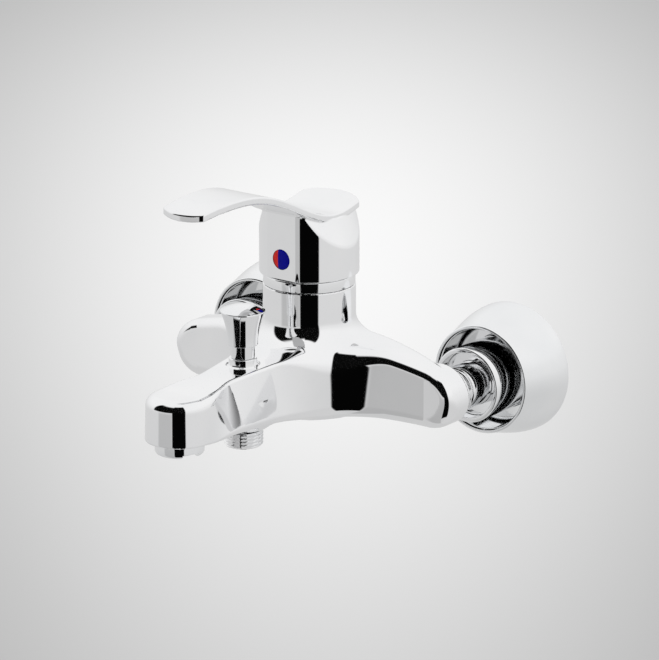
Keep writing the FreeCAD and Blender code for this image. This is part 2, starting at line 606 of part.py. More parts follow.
def hose_outlet():
    """Nipple with the hose's G 1/2 thread below the spout."""
    edge = 1.0
    relief_foot = OUTLET_THREAD_TOP - OUTLET_RELIEF
    profile = [(OUTLET_BORE_R, OUTLET_BOTTOM), (G12_R - edge, OUTLET_BOTTOM), (G12_R, OUTLET_BOTTOM + edge),
               (G12_R, relief_foot), (OUTLET_RELIEF_R, relief_foot), (OUTLET_RELIEF_R, OUTLET_THREAD_TOP),
               (OUTLET_SPIGOT_R, OUTLET_THREAD_TOP), (OUTLET_SPIGOT_R, CHAMBER_FLOOR),
               (OUTLET_BORE_R, CHAMBER_FLOOR)]
    return turned_z(0, DIVERTER_Y, profile)


def outlet_seal():
    """Flat ring under the nipple's shoulder, let into the spout's boss."""
    return ring_z(0, DIVERTER_Y, OUTLET_THREAD_TOP, OUTLET_THREAD_TOP + OUTLET_SEAL_HEIGHT,
                  OUTLET_SEAL_R, OUTLET_SPIGOT_R)


def aerator_housing():
    """Screwed-in sleeve with a round-edged foot and a lip that holds the insert."""
    edge = 1.6
    inner = AERATOR_THREAD_R - AERATOR_WALL
    mouth = inner - AERATOR_LIP
    lip_top = AERATOR_BOTTOM + AERATOR_LIP
    profile = [(mouth, AERATOR_BOTTOM), (AERATOR_R - edge, AERATOR_BOTTOM),
               (AERATOR_R, AERATOR_BOTTOM + edge), (AERATOR_R, AERATOR_SHOULDER),
               (AERATOR_THREAD_R, AERATOR_SHOULDER), (AERATOR_THREAD_R, AERATOR_THREAD_TOP),
               (inner, AERATOR_THREAD_TOP), (inner, lip_top), (mouth, lip_top)]
    return turned_z(0, NOZZLE_Y, profile)


def aerator_insert():
    """Flow straightener: a drum with rings of water holes."""
    radius = AERATOR_THREAD_R - AERATOR_WALL - THREAD_FIT
    z0 = AERATOR_BOTTOM + AERATOR_LIP
    drum = rod_z(0, NOZZLE_Y, z0, AERATOR_THREAD_TOP, radius)
    holes = [rod_z(0, NOZZLE_Y, z0, AERATOR_THREAD_TOP, JET_R)]
    for count, ring_radius in JET_RINGS:
        for i in range(count):
            angle = radians(360 * i / count)
            holes.append(rod_z(ring_radius * cos(angle), NOZZLE_Y + ring_radius * sin(angle),
                               z0, AERATOR_THREAD_TOP, JET_R))
    return drum.cut(holes)


def aerator_gasket():
    return ring_z(0, NOZZLE_Y, AERATOR_THREAD_TOP, AERATOR_THREAD_TOP + AERATOR_GASKET_HEIGHT,
                  AERATOR_THREAD_R - SHOULDER_GAP, AERATOR_THREAD_R - AERATOR_WALL - AERATOR_GASKET_LIP)


# ---- body casting -------------------------------------------------------------------------------
ARM_FRONT_REACH = (16.0, 8.0, 1.0)   # arm's front ahead of the tower's axis, from the tower outwards
ARM_BACK_REACH = (22.0, 22.0, 15.0)  # arm's back behind the tower's axis
ARM_TOP_H = (26.0, 24.5, 18.5)
ARM_BOTTOM_H = (-19.0, -16.3, -14.0)
ARM_STATIONS = (0.0, 38.0, INLET_X + 3.0)
ARM_CORNER = 7.0
SPOUT_STATIONS = (TOWER_REACH + 2.0, TOWER_REACH + 33.0, DIVERTER_REACH + 11.0, NOZZLE_REACH)
SPOUT_TOP = (21.6, 20.9, 20.5, 18.2)
SPOUT_BOTTOM = (-20.5, -16.2, -11.6, -6.0)
SPOUT_TOP_HALF = (14.0, 10.5, 10.0, 9.6)
SPOUT_BOTTOM_HALF = (21.0, 18.6, 17.8, 17.2)
SPOUT_CORNERS = (2.5, 2.5, 6.0, 6.0)
NOSE_R = AERATOR_R + 5.1
NOSE_TOP_EDGE = 6.0
ELBOW_EDGE = 8.0
ELBOW_FRONT = TOWER_REACH + 0.5      # wall to the elbow's front face
TAILPIECE_R = 12.0
TAILPIECE_BORE_R = 8.0
TAILPIECE_DEPTH = 10.0               # screwed into the elbow
NECK_RING_R = 14.8
NECK_RING_DEPTH = 4.0
ARM_BORE_R = 6.5
ARM_BORE_Y = TOWER_Y + 9.0
ARM_BORE_END = 5.5
POCKET_R = CARTRIDGE_R + 0.2
TOWER_FOOT = AXIS_Z - 10.0           # inside the arms
OUTLET_BOSS_R = 12.0
KNOB_PAD_R = 10.0
MIXED_BORE_R = 5.5
SPOUT_BORE_R = 3.5
SPOUT_BORE_H = 11.6
NOZZLE_CHAMBER_R = 8.0


def arms():
    """Both arms as one bar, deepest at the tower."""
    wires = []
    places = [-x for x in reversed(ARM_STATIONS[1:])] + list(ARM_STATIONS)
    for x in places:
        i = ARM_STATIONS.index(abs(x))
        low = AXIS_Z + ARM_BOTTOM_H[i]
        high = AXIS_Z + ARM_TOP_H[i]
        front_y = TOWER_Y - ARM_FRONT_REACH[i]
        back_y = TOWER_Y + ARM_BACK_REACH[i]
        corners = [V(x, front_y, low), V(x, front_y, high), V(x, back_y, high), V(x, back_y, low)]
        wires.append(rounded_wire(corners, [ARM_CORNER] * 4))
    return Part.makeLoft(wires, True)


def spout():
    """Spout with a narrow flat top, crisp top ridges and leaning sides."""
    wires = []
    for i, reach in enumerate(SPOUT_STATIONS):
        low = AXIS_Z + SPOUT_BOTTOM[i]
        high = AXIS_Z + SPOUT_TOP[i]
        corners = [V(-SPOUT_TOP_HALF[i], -reach, high), V(SPOUT_TOP_HALF[i], -reach, high),
                   V(SPOUT_BOTTOM_HALF[i], -reach, low), V(-SPOUT_BOTTOM_HALF[i], -reach, low)]
        wires.append(rounded_wire(corners, SPOUT_CORNERS))
    return Part.makeLoft(wires, True)


def nose():
    """Round end of the spout over the aerator."""
    z0 = AXIS_Z + SPOUT_BOTTOM[-1]
    z1 = AXIS_Z + SPOUT_TOP[-1]
    drum = rod_z(0, NOZZLE_Y, z0, z1, NOSE_R)
    top_edge = [e for e in drum.Edges
                if abs(e.BoundBox.ZMin - z1) < SAME_PLACE and len(e.Vertexes) == 1]
    return drum.makeFillet(NOSE_TOP_EDGE, top_edge)


def elbow(side):
    """Arm's outer end, turned back to the wall."""
    x = side * INLET_X
    front = -ELBOW_FRONT
    drum = rod_y(x, AXIS_Z, front, -ELBOW_BACK, ELBOW_R)
    front_edge = [e for e in drum.Edges
                  if abs(e.BoundBox.YMax - front) < SAME_PLACE and len(e.Vertexes) == 1]
    neck = rod_y(x, AXIS_Z, -ELBOW_BACK, -ELBOW_BACK + NECK_RING_DEPTH, NECK_RING_R)
    return drum.makeFillet(ELBOW_EDGE, front_edge).fuse(neck)


def mixer_body():
    """Casting: tower, arms, spout and elbows, with its pocket, waterways and seats."""
    tower = rod_z(0, TOWER_Y, TOWER_FOOT, TOWER_TOP, TOWER_R)
    outlet_boss = rod_z(0, DIVERTER_Y, OUTLET_THREAD_TOP, AXIS_Z, OUTLET_BOSS_R)
    knob_pad = rod_z(0, DIVERTER_Y, AXIS_Z, AXIS_Z + SPOUT_TOP_H, KNOB_PAD_R)
    casting = fused(tower, arms(), spout(), nose(), elbow(-1), elbow(1), outlet_boss, knob_pad)

    pocket = rod_z(0, TOWER_Y, SEAT_Z, SHOULDER_Z, POCKET_R)
    nut_thread = rod_z(0, TOWER_Y, SHOULDER_Z, TOWER_TOP + REACH_THROUGH, NUT_THREAD_R + THREAD_FIT)
    mixed_y = TOWER_Y + MIXED_PORT[1]
    spout_z = AXIS_Z + SPOUT_BORE_H
    cuts = [pocket, nut_thread,
            rod_z(0, mixed_y, AXIS_Z, SEAT_Z, PORT_R),
            rod_y(0, AXIS_Z, mixed_y, DIVERTER_Y, MIXED_BORE_R),
            rod_z(0, DIVERTER_Y, CHAMBER_FLOOR, UPPER_SEAT, DIVERTER_CHAMBER_R),
            rod_z(0, DIVERTER_Y, UPPER_SEAT, UPPER_SEAT_TOP, SEAT_HOLE_R),
            rod_z(0, DIVERTER_Y, UPPER_SEAT_TOP, AXIS_Z + 2 * SPOUT_TOP_H, DIVERTER_CHAMBER_R),
            rod_z(0, DIVERTER_Y, OUTLET_THREAD_TOP, CHAMBER_FLOOR, OUTLET_SPIGOT_R + THREAD_FIT),
            rod_z(0, DIVERTER_Y, OUTLET_THREAD_TOP, OUTLET_THREAD_TOP + OUTLET_SEAL_HEIGHT,
                  OUTLET_SEAL_R + THREAD_FIT),
            rod_z(0, DIVERTER_Y, OUTLET_THREAD_TOP - SPOUT_TOP_H, OUTLET_THREAD_TOP, G12_R + SHOULDER_GAP),
            rod_y(0, spout_z, DIVERTER_Y, NOZZLE_Y, SPOUT_BORE_R),
            rod_z(0, NOZZLE_Y, AERATOR_THREAD_TOP + AERATOR_GASKET_HEIGHT, spout_z, NOZZLE_CHAMBER_R),
            rod_z(0, NOZZLE_Y, AERATOR_SHOULDER - SPOUT_TOP_H, AERATOR_SHOULDER, AERATOR_R + SHOULDER_GAP),
            rod_z(0, NOZZLE_Y, AERATOR_SHOULDER, AERATOR_THREAD_TOP + AERATOR_GASKET_HEIGHT,
                  AERATOR_THREAD_R + THREAD_FIT)]
    for _, side in SIDES:
        x = side * INLET_X
        port_x = side * HOT_COLD_PORT[0]
        port_y = TOWER_Y + HOT_COLD_PORT[1]
        cuts += [rod_y(x, AXIS_Z, -ELBOW_BACK + NECK_RING_DEPTH, -ELBOW_BACK - TAILPIECE_DEPTH,
                       TAILPIECE_R + THREAD_FIT),
                 rod_x(ARM_BORE_Y, AXIS_Z, x, side * ARM_BORE_END, ARM_BORE_R),
                 rod_z(port_x, port_y, AXIS_Z, SEAT_Z, PORT_R)]
    return casting.cut(cuts)


# ---- wall connections ---------------------------------------------------------------------------
NUT_BACK = 17.0
NUT_WEB = (34.0, 38.0)               # wall to the two faces of the nut's web
NUT_RECESS_R = NUT_R - 2.6
TAILPIECE_END = 31.0
TAILPIECE_LIP_R = G34_R - 0.32
UNION_FACE = 29.5                    # wall to the union's front, under the gasket
UNION_BORE_R = 8.0
STUD_BORE_R = 7.5
INLET_WINDOW_R = 4.5                 # side port of the tailpiece, into the arm
STUD_LENGTH = 14.0                   # inside the wall's fitting
STUD_END = 3.0                       # wall to the eccentric disc
ECCENTRIC_BACK = 10.0
ECCENTRIC_R = G34_R + UNION_RISE / 2 + 1.78      # covers both threads
FLANGE_FLOOR = 14.0
FLANGE_FLOOR_BACK = 12.0
FLANGE_SEAL_DEPTH = 1.2
FLANGE_SEAL_WIDTH = 2.0
FLANGE_REAR_R = FLANGE_R - FLANGE_WALL
FLANGE_SLOPE = (FLANGE_R - FLANGE_RIM_R) / FLANGE_DEPTH
FLANGE_RECESS_R = FLANGE_RIM_R - 2.4
FLANGE_BULGE = ((34.2, 11.2), (30.8, 24.0))      # (radius, distance from the wall) down the bell's side


def tailpiece(side):
    x = side * INLET_X
    head = -ELBOW_BACK - TAILPIECE_DEPTH
    tube = rod_y(x, AXIS_Z, head, -TAILPIECE_END, TAILPIECE_R)
    lip = rod_y(x, AXIS_Z, -NUT_WEB[0], -TAILPIECE_END, TAILPIECE_LIP_R)
    bore = rod_y(x, AXIS_Z, head, -TAILPIECE_END, TAILPIECE_BORE_R)
    window = rod_x(ARM_BORE_Y, AXIS_Z, x, x - side * 2 * TAILPIECE_R, INLET_WINDOW_R)
    return fused(tube, lip).cut([bore, window])


def union_nut(side):
    """Round nut with a deep front recess round the tailpiece."""
    x = side * INLET_X
    edge = 0.8
    thread = G34_R + THREAD_FIT
    hole = TAILPIECE_R + THREAD_FIT
    profile = [(thread, -NUT_BACK), (NUT_R - edge, -NUT_BACK), (NUT_R, -NUT_BACK - edge),
               (NUT_R, -NUT_FRONT + edge), (NUT_R - edge, -NUT_FRONT), (NUT_RECESS_R, -NUT_FRONT),
               (NUT_RECESS_R, -NUT_WEB[1]), (hole, -NUT_WEB[1]), (hole, -NUT_WEB[0]), (thread, -NUT_WEB[0])]
    return turned_y(x, AXIS_Z, profile)


def inlet_gasket(side):
    return ring_y(side * INLET_X, AXIS_Z, -TAILPIECE_END, -UNION_FACE, TAILPIECE_LIP_R, TAILPIECE_BORE_R)


def eccentric_union(side):
    """S-union: wall stud and mixer thread on parallel axes, joined by an oval block."""
    x = side * INLET_X
    stud = rod_y(x, 0, -STUD_END, STUD_LENGTH, G12_R)
    block = rod_y(x, AXIS_Z / 2, -ECCENTRIC_BACK, -STUD_END, ECCENTRIC_R)
    thread = rod_y(x, AXIS_Z, -UNION_FACE, -ECCENTRIC_BACK, G34_R)
    rear_bore = rod_y(x, 0, -ECCENTRIC_BACK, STUD_LENGTH, STUD_BORE_R)
    front_bore = rod_y(x, AXIS_Z, -UNION_FACE, -2 * STUD_END, UNION_BORE_R)
    return fused(stud, block, thread).cut([rear_bore, front_bore])


def flange(side):
    """Bell-shaped wall plate, screwed onto the union, with a deep recess round the nut."""
    x = side * INLET_X
    edge = 1.0
    hole = G34_R + THREAD_FIT
    cavity_r = FLANGE_REAR_R - FLANGE_SLOPE * FLANGE_FLOOR_BACK
    outside = [(FLANGE_REAR_R, 0), (FLANGE_R - edge / 2, 0), (FLANGE_R, -edge)]
    outside += [(radius, -depth) for radius, depth in FLANGE_BULGE]
    outside += [(FLANGE_RIM_R, -FLANGE_DEPTH + edge), (FLANGE_RIM_R - edge, -FLANGE_DEPTH)]
    inside = [(FLANGE_RECESS_R, -FLANGE_DEPTH + edge), (FLANGE_RECESS_R, -FLANGE_FLOOR),
              (hole, -FLANGE_FLOOR), (hole, -FLANGE_FLOOR_BACK), (cavity_r, -FLANGE_FLOOR_BACK)]
    return turned_y(x, AXIS_Z, outside + inside)


def flange_seal(side):
    outer = FLANGE_REAR_R - FLANGE_SLOPE * FLANGE_SEAL_DEPTH
    return ring_y(side * INLET_X, AXIS_Z, -FLANGE_SEAL_DEPTH, 0, outer, outer - FLANGE_SEAL_WIDTH)


# ---- every node ---------------------------------------------------------------------------------
def nodes():
    """Name and shape of every piece."""
    singles = [mixer_body, collar_ring, cartridge_nut, cartridge_housing, cartridge_base,
               ceramic_disc_fixed, ceramic_disc_moving, disc_carrier, spindle_guide, spindle_pivot_pin,
               lever_spindle, lever_handle, handle_set_screw, hot_index, cold_index, diverter_bush,
               diverter_gland_ring, diverter_stem, stem_clip, diverter_valve, diverter_washers,
               diverter_spring, diverter_knob, hose_outlet, outlet_seal, aerator_housing, aerator_insert,
               aerator_gasket]
    shapes = {make.__name__: make() for make in singles}
    shapes["port_seals"] = port_rings(SEAT_Z)
    shapes["disc_seals"] = port_rings(BASE_TOP - SEAL_THICKNESS)
    for name, side in SIDES:
        for make in (tailpiece, union_nut, inlet_gasket, eccentric_union, flange, flange_seal):
            shapes[name + "_" + make.__name__] = make(side)
    return shapes


def main():
    os.makedirs("parts", exist_ok=True)
    for name, shape in nodes().items():
        shape.exportStep("parts/" + name + ".step")


main()
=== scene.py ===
import math
import bmesh
import bpy
import numpy as np
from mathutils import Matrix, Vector


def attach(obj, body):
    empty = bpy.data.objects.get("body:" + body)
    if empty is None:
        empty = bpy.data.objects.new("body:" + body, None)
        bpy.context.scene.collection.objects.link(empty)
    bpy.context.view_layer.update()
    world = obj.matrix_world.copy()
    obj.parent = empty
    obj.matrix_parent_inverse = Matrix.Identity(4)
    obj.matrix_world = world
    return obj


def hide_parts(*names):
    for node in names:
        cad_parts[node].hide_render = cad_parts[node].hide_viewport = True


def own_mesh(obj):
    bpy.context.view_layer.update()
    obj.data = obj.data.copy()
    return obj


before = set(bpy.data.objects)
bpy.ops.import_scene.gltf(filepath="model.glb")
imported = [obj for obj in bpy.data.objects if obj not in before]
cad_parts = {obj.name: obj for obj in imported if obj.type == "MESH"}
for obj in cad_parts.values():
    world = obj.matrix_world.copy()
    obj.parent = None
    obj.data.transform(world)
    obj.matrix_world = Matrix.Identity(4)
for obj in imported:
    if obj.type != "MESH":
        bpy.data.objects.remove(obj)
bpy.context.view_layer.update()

MM = 0.001
# places and sizes that several pieces share, in millimetres
AXIS_Z = 5.0            # height of the inlets' axis
INLET_X = 75.0
TOWER_Y = -82.0
TOWER_R = 24.6
TOWER_TOP = 57.6
DIVERTER_Y = -139.0
NOZZLE_Y = -192.0
HANDLE_BOTTOM = 64.0
HANDLE_FLAT = 24.2      # tower's axis to the flat on the handle's front
INDEX_Z = 75.0


# ---- smooth solids as signed fields, in millimetres ----------------------------------------------
def meet(a, b, radius):
    """What lies in both solids, with a rounded edge."""
    return (np.minimum(-radius, np.maximum(a, b))
            + np.hypot(np.maximum(a + radius, 0), np.maximum(b + radius, 0)))


def join(a, b, radius):
    """What lies in either solid, with a fillet in the corner."""
    return (np.maximum(radius, np.minimum(a, b))
            - np.hypot(np.maximum(radius - a, 0), np.maximum(radius - b, 0)))


def blend(t, low, high):
    """0 below low, 1 above high, smooth between."""
    t = np.clip((t - low) / (high - low), 0, 1)
    return t * t * (3 - 2 * t)


def curve(places, values, degree=None):
    """Smooth polynomial line through (place, value) pairs."""
    return np.polynomial.Polynomial.fit(places, values, degree or len(places) - 1)


# ---- the casting's skin --------------------------------------------------------------------------
# reaches are distances from the wall, and heights are above the inlets' axis
SPOUT_REACH = (84.0, 115.0, 150.0, -NOZZLE_Y)
spout_top = curve(SPOUT_REACH, (23.0, 22.4, 20.6, 18.2))
spout_bottom = curve(SPOUT_REACH, (-14.9, -11.8, -9.4, -6.0))
spout_top_half = curve(SPOUT_REACH, (18.5, 16.5, 12.0, 9.6))
spout_bottom_half = curve(SPOUT_REACH, (21.0, 18.6, 17.8, 17.8))
SPOUT_WAIST = 6.0       # the spout's lower half-width loses this much towards the arms
NOSE_LEAN = 0.6         # the nose's top is this much narrower than its foot
ARM_SOFT = 15.0         # takes out the crease in the middle, where the arms meet
ELBOW_R = 17.2
ELBOW_LOW = 15.0        # the elbow's depth below its axis
ARM_PLACES = tuple(math.hypot(x, ARM_SOFT) for x in (0.0, 38.0, INLET_X))
arm_front = curve(ARM_PLACES, (98.6, 91.2, 83.4))
arm_back = curve(ARM_PLACES, (60.0, 61.0, 66.0))
# the arm's top runs into the elbow's round where the two slope alike
SHOULDER = 79.4
SHOULDER_PLACE = math.hypot(SHOULDER, ARM_SOFT)
arm_top = curve((*ARM_PLACES[:2], SHOULDER_PLACE), (27.5, 25.6, 16.9))
arm_bottom = curve(ARM_PLACES, (-14.8, -13.8, -ELBOW_LOW))
FRONT_TILT = 0.985      # true distance from the arm's sloping front, for each unit along y
PLAN_FILLET = 37.0
BACK_EDGE = 7.0
# where one shape turns into another, as (from, to)
ARM_ZONE = (92.0, 128.0)
NOSE_ZONE = (160.0, 190.0)
CORNER_ZONE = (28.0, 58.0)
ARM_EDGE_ZONE = (98.0, 128.0)
NOSE_EDGE_ZONE = (172.0, 190.0)
EDGE_HEIGHTS = (-4.0, 6.0)
# rounding of the upper edges: the spout's, and what the arms, the corners and the nose add to it
SPOUT_EDGE = 1.6
ARM_EDGE = 3.6
CORNER_EDGE = 10.0
NOSE_EDGE = 3.9
# rounding of the lower edges: the spout's, what the arms add and what the nose takes away
LOW_EDGE = 5.0
LOW_ARM_EDGE = 3.0
LOW_NOSE_EDGE = 4.2
# wall to the elbow's and the neck ring's two ends, of which the front ones lie inside the arm
ELBOW_ENDS = (65.0, 76.0)
NECK_ENDS = (61.0, 75.0)
NECK_R = 14.8
TOWER_FOOT_Z = -5.0
TOWER_FILLET = 9.0
BOSS_R = 12.0
BOSS_HEIGHTS = (-7.3, 5.0)      # outlet's boss, above the origin
BOSS_FILLET = 5.0


def body_field(x, y, z):
    wide = np.abs(x)
    rel = z - AXIS_Z
    reach = np.clip(-y, SPOUT_REACH[0], SPOUT_REACH[-1])
    round_off = np.hypot(x, ARM_SOFT)
    along = np.minimum(round_off, ARM_PLACES[-1])
    near_arm = 1 - blend(-y, *ARM_ZONE)
    near_nose = blend(-y, *NOSE_ZONE)
    # plan of the spout and the arms, drawn together in one large fillet
    top_s, bottom_s = spout_top(reach), spout_bottom(reach)
    bottom_w = spout_bottom_half(reach) - SPOUT_WAIST * near_arm
    top_w = spout_top_half(reach)
    top_w = top_w + near_nose * (bottom_w - NOSE_LEAN - top_w)
    lean = (bottom_w - top_w) / (top_s - bottom_s)
    off = np.where(y < NOZZLE_Y, np.hypot(x, y - NOZZLE_Y), wide)
    side = (off - (bottom_w - lean * (rel - bottom_s))) / np.sqrt(1 + lean * lean)
    front = (-arm_front(along) - y) * FRONT_TILT
    plan = join(side, front, PLAN_FILLET)
    # top and underside; beyond the inlets they are the elbow's round
    shoulder = arm_top(np.minimum(round_off, SHOULDER_PLACE))
    top = top_s + near_arm * (shoulder - top_s)
    bottom = bottom_s + near_arm * (arm_bottom(along) - bottom_s)
    across = np.hypot(wide - INLET_X, np.where(rel < 0, rel * ELBOW_R / ELBOW_LOW, rel))
    beyond = wide > np.where(rel > 0, SHOULDER, INLET_X)
    limit = np.where(beyond, across - ELBOW_R, np.maximum(rel - top, bottom - rel))
    corner = 1 - blend(wide, *CORNER_ZONE)
    arm_edge = (ARM_EDGE + CORNER_EDGE * corner) * (1 - blend(-y, *ARM_EDGE_ZONE))
    edge = SPOUT_EDGE + arm_edge + NOSE_EDGE * blend(-y, *NOSE_EDGE_ZONE)
    low_edge = LOW_EDGE + LOW_ARM_EDGE * near_arm - LOW_NOSE_EDGE * near_nose
    edge = low_edge + (edge - low_edge) * blend(rel, *EDGE_HEIGHTS)
    solid = meet(plan, limit, edge)
    solid = meet(solid, y + arm_back(along), BACK_EDGE)
    # elbows' back ends and neck rings, tower, and the outlet's boss
    elbow = meet(across - ELBOW_R, y + ELBOW_ENDS[0], 1.0)
    elbow = np.maximum(elbow, -ELBOW_ENDS[1] - y)
    neck = meet(np.hypot(wide - INLET_X, rel) - NECK_R, y + NECK_ENDS[0], 0.8)
    neck = np.maximum(neck, -NECK_ENDS[1] - y)
    solid = np.minimum(np.minimum(solid, elbow), neck)
    tower = meet(np.hypot(x, y - TOWER_Y) - TOWER_R, z - TOWER_TOP, 0.5)
    tower = np.maximum(tower, TOWER_FOOT_Z - z)
    solid = join(solid, tower, TOWER_FILLET)
    boss = meet(np.hypot(x, y - DIVERTER_Y) - BOSS_R, BOSS_HEIGHTS[0] - z, 1.0)
    boss = np.maximum(boss, z - BOSS_HEIGHTS[1])
    return join(solid, boss, BOSS_FILLET)


# ---- the handle's skin ---------------------------------------------------------------------------
BLADE_REACH = (55.6, 73.0, 84.0, 104.0, 127.0, 146.0, 164.0, 178.0, 191.5)
BLADE_TOP = (97.2, 93.7, 92.9, 98.5, 109.4, 114.8, 116.0, 115.2, 113.0)
blade_line = curve(BLADE_REACH, BLADE_TOP, 6)
blade_slope = blade_line.deriv()
HANDLE_REACH = (54.0, 193.0)
HANDLE_R = 26.4
BLADE_THICKNESS = 4.0
BLADE_ROOT_HALF = 19.0
BLADE_TIP_HALF = 13.5
TAPER_END = 187.0       # wall to where the blade is as narrow as its tip
TAPER_LENGTH = 91.0
TAPER_TILT = 0.998      # true distance from the tapering edge, for each unit across
TIP_Y = -166.2          # centre of the tip's round
TIP_R = 24.8
BLADE_EDGE = 0.9
SINK = 2.0              # the hub ends this far inside the blade, so that the blade's top is one face
BLADE_ZONE = (88.0, 100.0)
BLADE_FILLET = 1.19     # under the blade, in front of the hub
FACET_HALF = 18.5
FACET_ROUND = 0.015
FACET_AHEAD = 1.0       # the facets are nearest to each other this far in front of the tower's axis
FACET_SLOPE = 0.47
SHARP = 0.5             # rounding of the hub's edges


def handle_field(x, y, z):
    wide = np.abs(x)
    reach = np.clip(-y, *HANDLE_REACH)
    tilt = np.sqrt(1 + blade_slope(reach) ** 2)
    over = (z - AXIS_Z - blade_line(reach)) / tilt
    under = -over - BLADE_THICKNESS / tilt
    drum = np.hypot(x, y - TOWER_Y) - HANDLE_R
    drop = np.maximum(AXIS_Z + blade_line(reach) - z, 0)
    facet = wide + FACET_ROUND * (y - TOWER_Y + FACET_AHEAD) ** 2 - FACET_HALF - FACET_SLOPE * drop
    facet = facet / math.hypot(1, FACET_SLOPE)
    hub = meet(drum, TOWER_Y - HANDLE_FLAT - y, SHARP)
    hub = meet(hub, facet, SHARP)
    hub = meet(hub, over + SINK, SHARP)
    hub = meet(hub, HANDLE_BOTTOM - z, SHARP)
    widening = np.clip((TAPER_END + y) / TAPER_LENGTH, 0, 1)
    half = BLADE_TIP_HALF + (BLADE_ROOT_HALF - BLADE_TIP_HALF) * widening
    edge = (wide - half) * TAPER_TILT
    tip = np.where(y < TIP_Y, np.hypot(x, y - TIP_Y) - TIP_R, TIP_Y - y - TIP_R)
    plan = meet(edge, tip, 1.0)
    plan = np.maximum(plan, np.where(y > TOWER_Y, drum, -1000.0))
    blade = meet(meet(plan, over, BLADE_EDGE), under, BLADE_EDGE)
    return join(hub, blade, 0.01 + BLADE_FILLET * blend(-y, *BLADE_ZONE))


# ---- mesh making ---------------------------------------------------------------------------------
# edges of a grid cell, whose corners are numbered by one bit each for x, y and z
EDGES = [(a, a | bit) for bit in (1, 2, 4) for a in range(8) if not a & bit]
SLAB = 24               # grid layers that are worked out at once
EVENING = 0.6           # share of the way that a point goes towards the middle of its neighbours
TINY = 1e-6


def gradient(field, p, h=0.02):
    """A field's slope at points, from differences."""
    slope = np.empty_like(p)
    for i in range(3):
        d = np.zeros(3)
        d[i] = h
        slope[:, i] = (field(*(p + d).T) - field(*(p - d).T)) / (2 * h)
    return slope


def on_field(field, p, rounds, limit):
    """Moves points onto the zero level, each round by the limit at most."""
    for _ in range(rounds):
        slope = gradient(field, p)
        steep = np.maximum((slope * slope).sum(1), 0.2)
        move = (field(*p.T) / steep)[:, None] * slope
        size = np.linalg.norm(move, axis=1, keepdims=True)
        p = p - move * np.minimum(1, limit / np.maximum(size, 1e-9))
    return p


def surface_net(field, low, high, step):
    """Even quads over the zero level of a field: (points in mm, faces)."""
    axes = [np.arange(start, stop + step, step) for start, stop in zip(low, high)]
    value = np.concatenate([field(*np.meshgrid(axes[0][i:i + SLAB], axes[1], axes[2], indexing="ij"))
                            for i in range(0, len(axes[0]), SLAB)])
    inside = value < 0
    n = np.array(value.shape)
    corner = [tuple(slice((c >> k) & 1, n[k] - 1 + ((c >> k) & 1)) for k in range(3)) for c in range(8)]
    count = sum(inside[c].astype(np.int8) for c in corner)
    cells = np.argwhere((count > 0) & (count < 8))
    number = np.full(count.shape, -1, np.int64)
    number[tuple(cells.T)] = np.arange(len(cells))
    bits = [np.array([(c >> k) & 1 for k in range(3)]) for c in range(8)]
    at = [value[tuple((cells + b).T)] for b in bits]
    total = np.zeros((len(cells), 3))
    hits = np.zeros(len(cells))
    for a, b in EDGES:
        crosses = (at[a] < 0) != (at[b] < 0)
        t = np.where(crosses, at[a] / np.where(crosses, at[a] - at[b], 1), 0)
        total += np.where(crosses[:, None], bits[a] + t[:, None] * (bits[b] - bits[a]), 0)
        hits += crosses
    points = np.array([a[0] for a in axes]) + (cells + total / hits[:, None]) * step
    faces = []
    for k in range(3):
        u, v = (k + 1) % 3, (k + 2) % 3
        first = [slice(None)] * 3
        last = [slice(None)] * 3
        first[k], last[k] = slice(0, -1), slice(1, None)
        change = inside[tuple(first)] != inside[tuple(last)]
        idx = np.argwhere(change)
        idx = idx[(idx[:, u] > 0) & (idx[:, v] > 0) & (idx[:, u] < n[u] - 1) & (idx[:, v] < n[v] - 1)]
        eu, ev = np.eye(3, dtype=int)[u], np.eye(3, dtype=int)[v]
        quad = np.stack([number[tuple((idx - o).T)] for o in (eu + ev, ev, 0 * eu, eu)], axis=1)
        starts_in = inside[tuple(idx.T)]
        quad[~starts_in] = quad[~starts_in][:, ::-1]
        faces.append(quad)
    faces = np.concatenate(faces)
    edges = np.concatenate([faces[:, [i, (i + 1) % 4]] for i in range(4)])
    for _ in range(2):
        near = np.zeros_like(points)
        many = np.zeros(len(points))
        for a, b in ((0, 1), (1, 0)):
            np.add.at(near, edges[:, a], points[edges[:, b]])
            np.add.at(many, edges[:, a], 1)
        points = points + EVENING * (near / many[:, None] - points)
        points = on_field(field, points, 2, step)
    points = on_field(field, points, 3, step)
    return points, faces


def linked(name, mesh):
    obj = bpy.data.objects.new(name, mesh)
    bpy.context.scene.collection.objects.link(obj)
    return obj


def new_piece(name, points, faces):
    """Object from points in mm."""
    mesh = bpy.data.meshes.new(name)
    mesh.from_pydata((np.asarray(points) * MM).tolist(), [], [list(map(int, f)) for f in faces])
    mesh.validate()
    mesh.update()
    return linked(name, mesh)


def quad_piece(name, points, quads):
    """Object from large arrays of points in mm and of quads."""
    mesh = bpy.data.meshes.new(name)
    mesh.vertices.add(len(points))
    mesh.vertices.foreach_set("co", (points * MM).astype(np.float32).ravel())
    mesh.loops.add(4 * len(quads))
    mesh.loops.foreach_set("vertex_index", quads.ravel().astype(np.int32))
    mesh.polygons.add(len(quads))
    mesh.polygons.foreach_set("loop_start", np.arange(0, 4 * len(quads), 4, dtype=np.int32))
    mesh.update(calc_edges=True)
    mesh.validate()
    return linked(name, mesh)


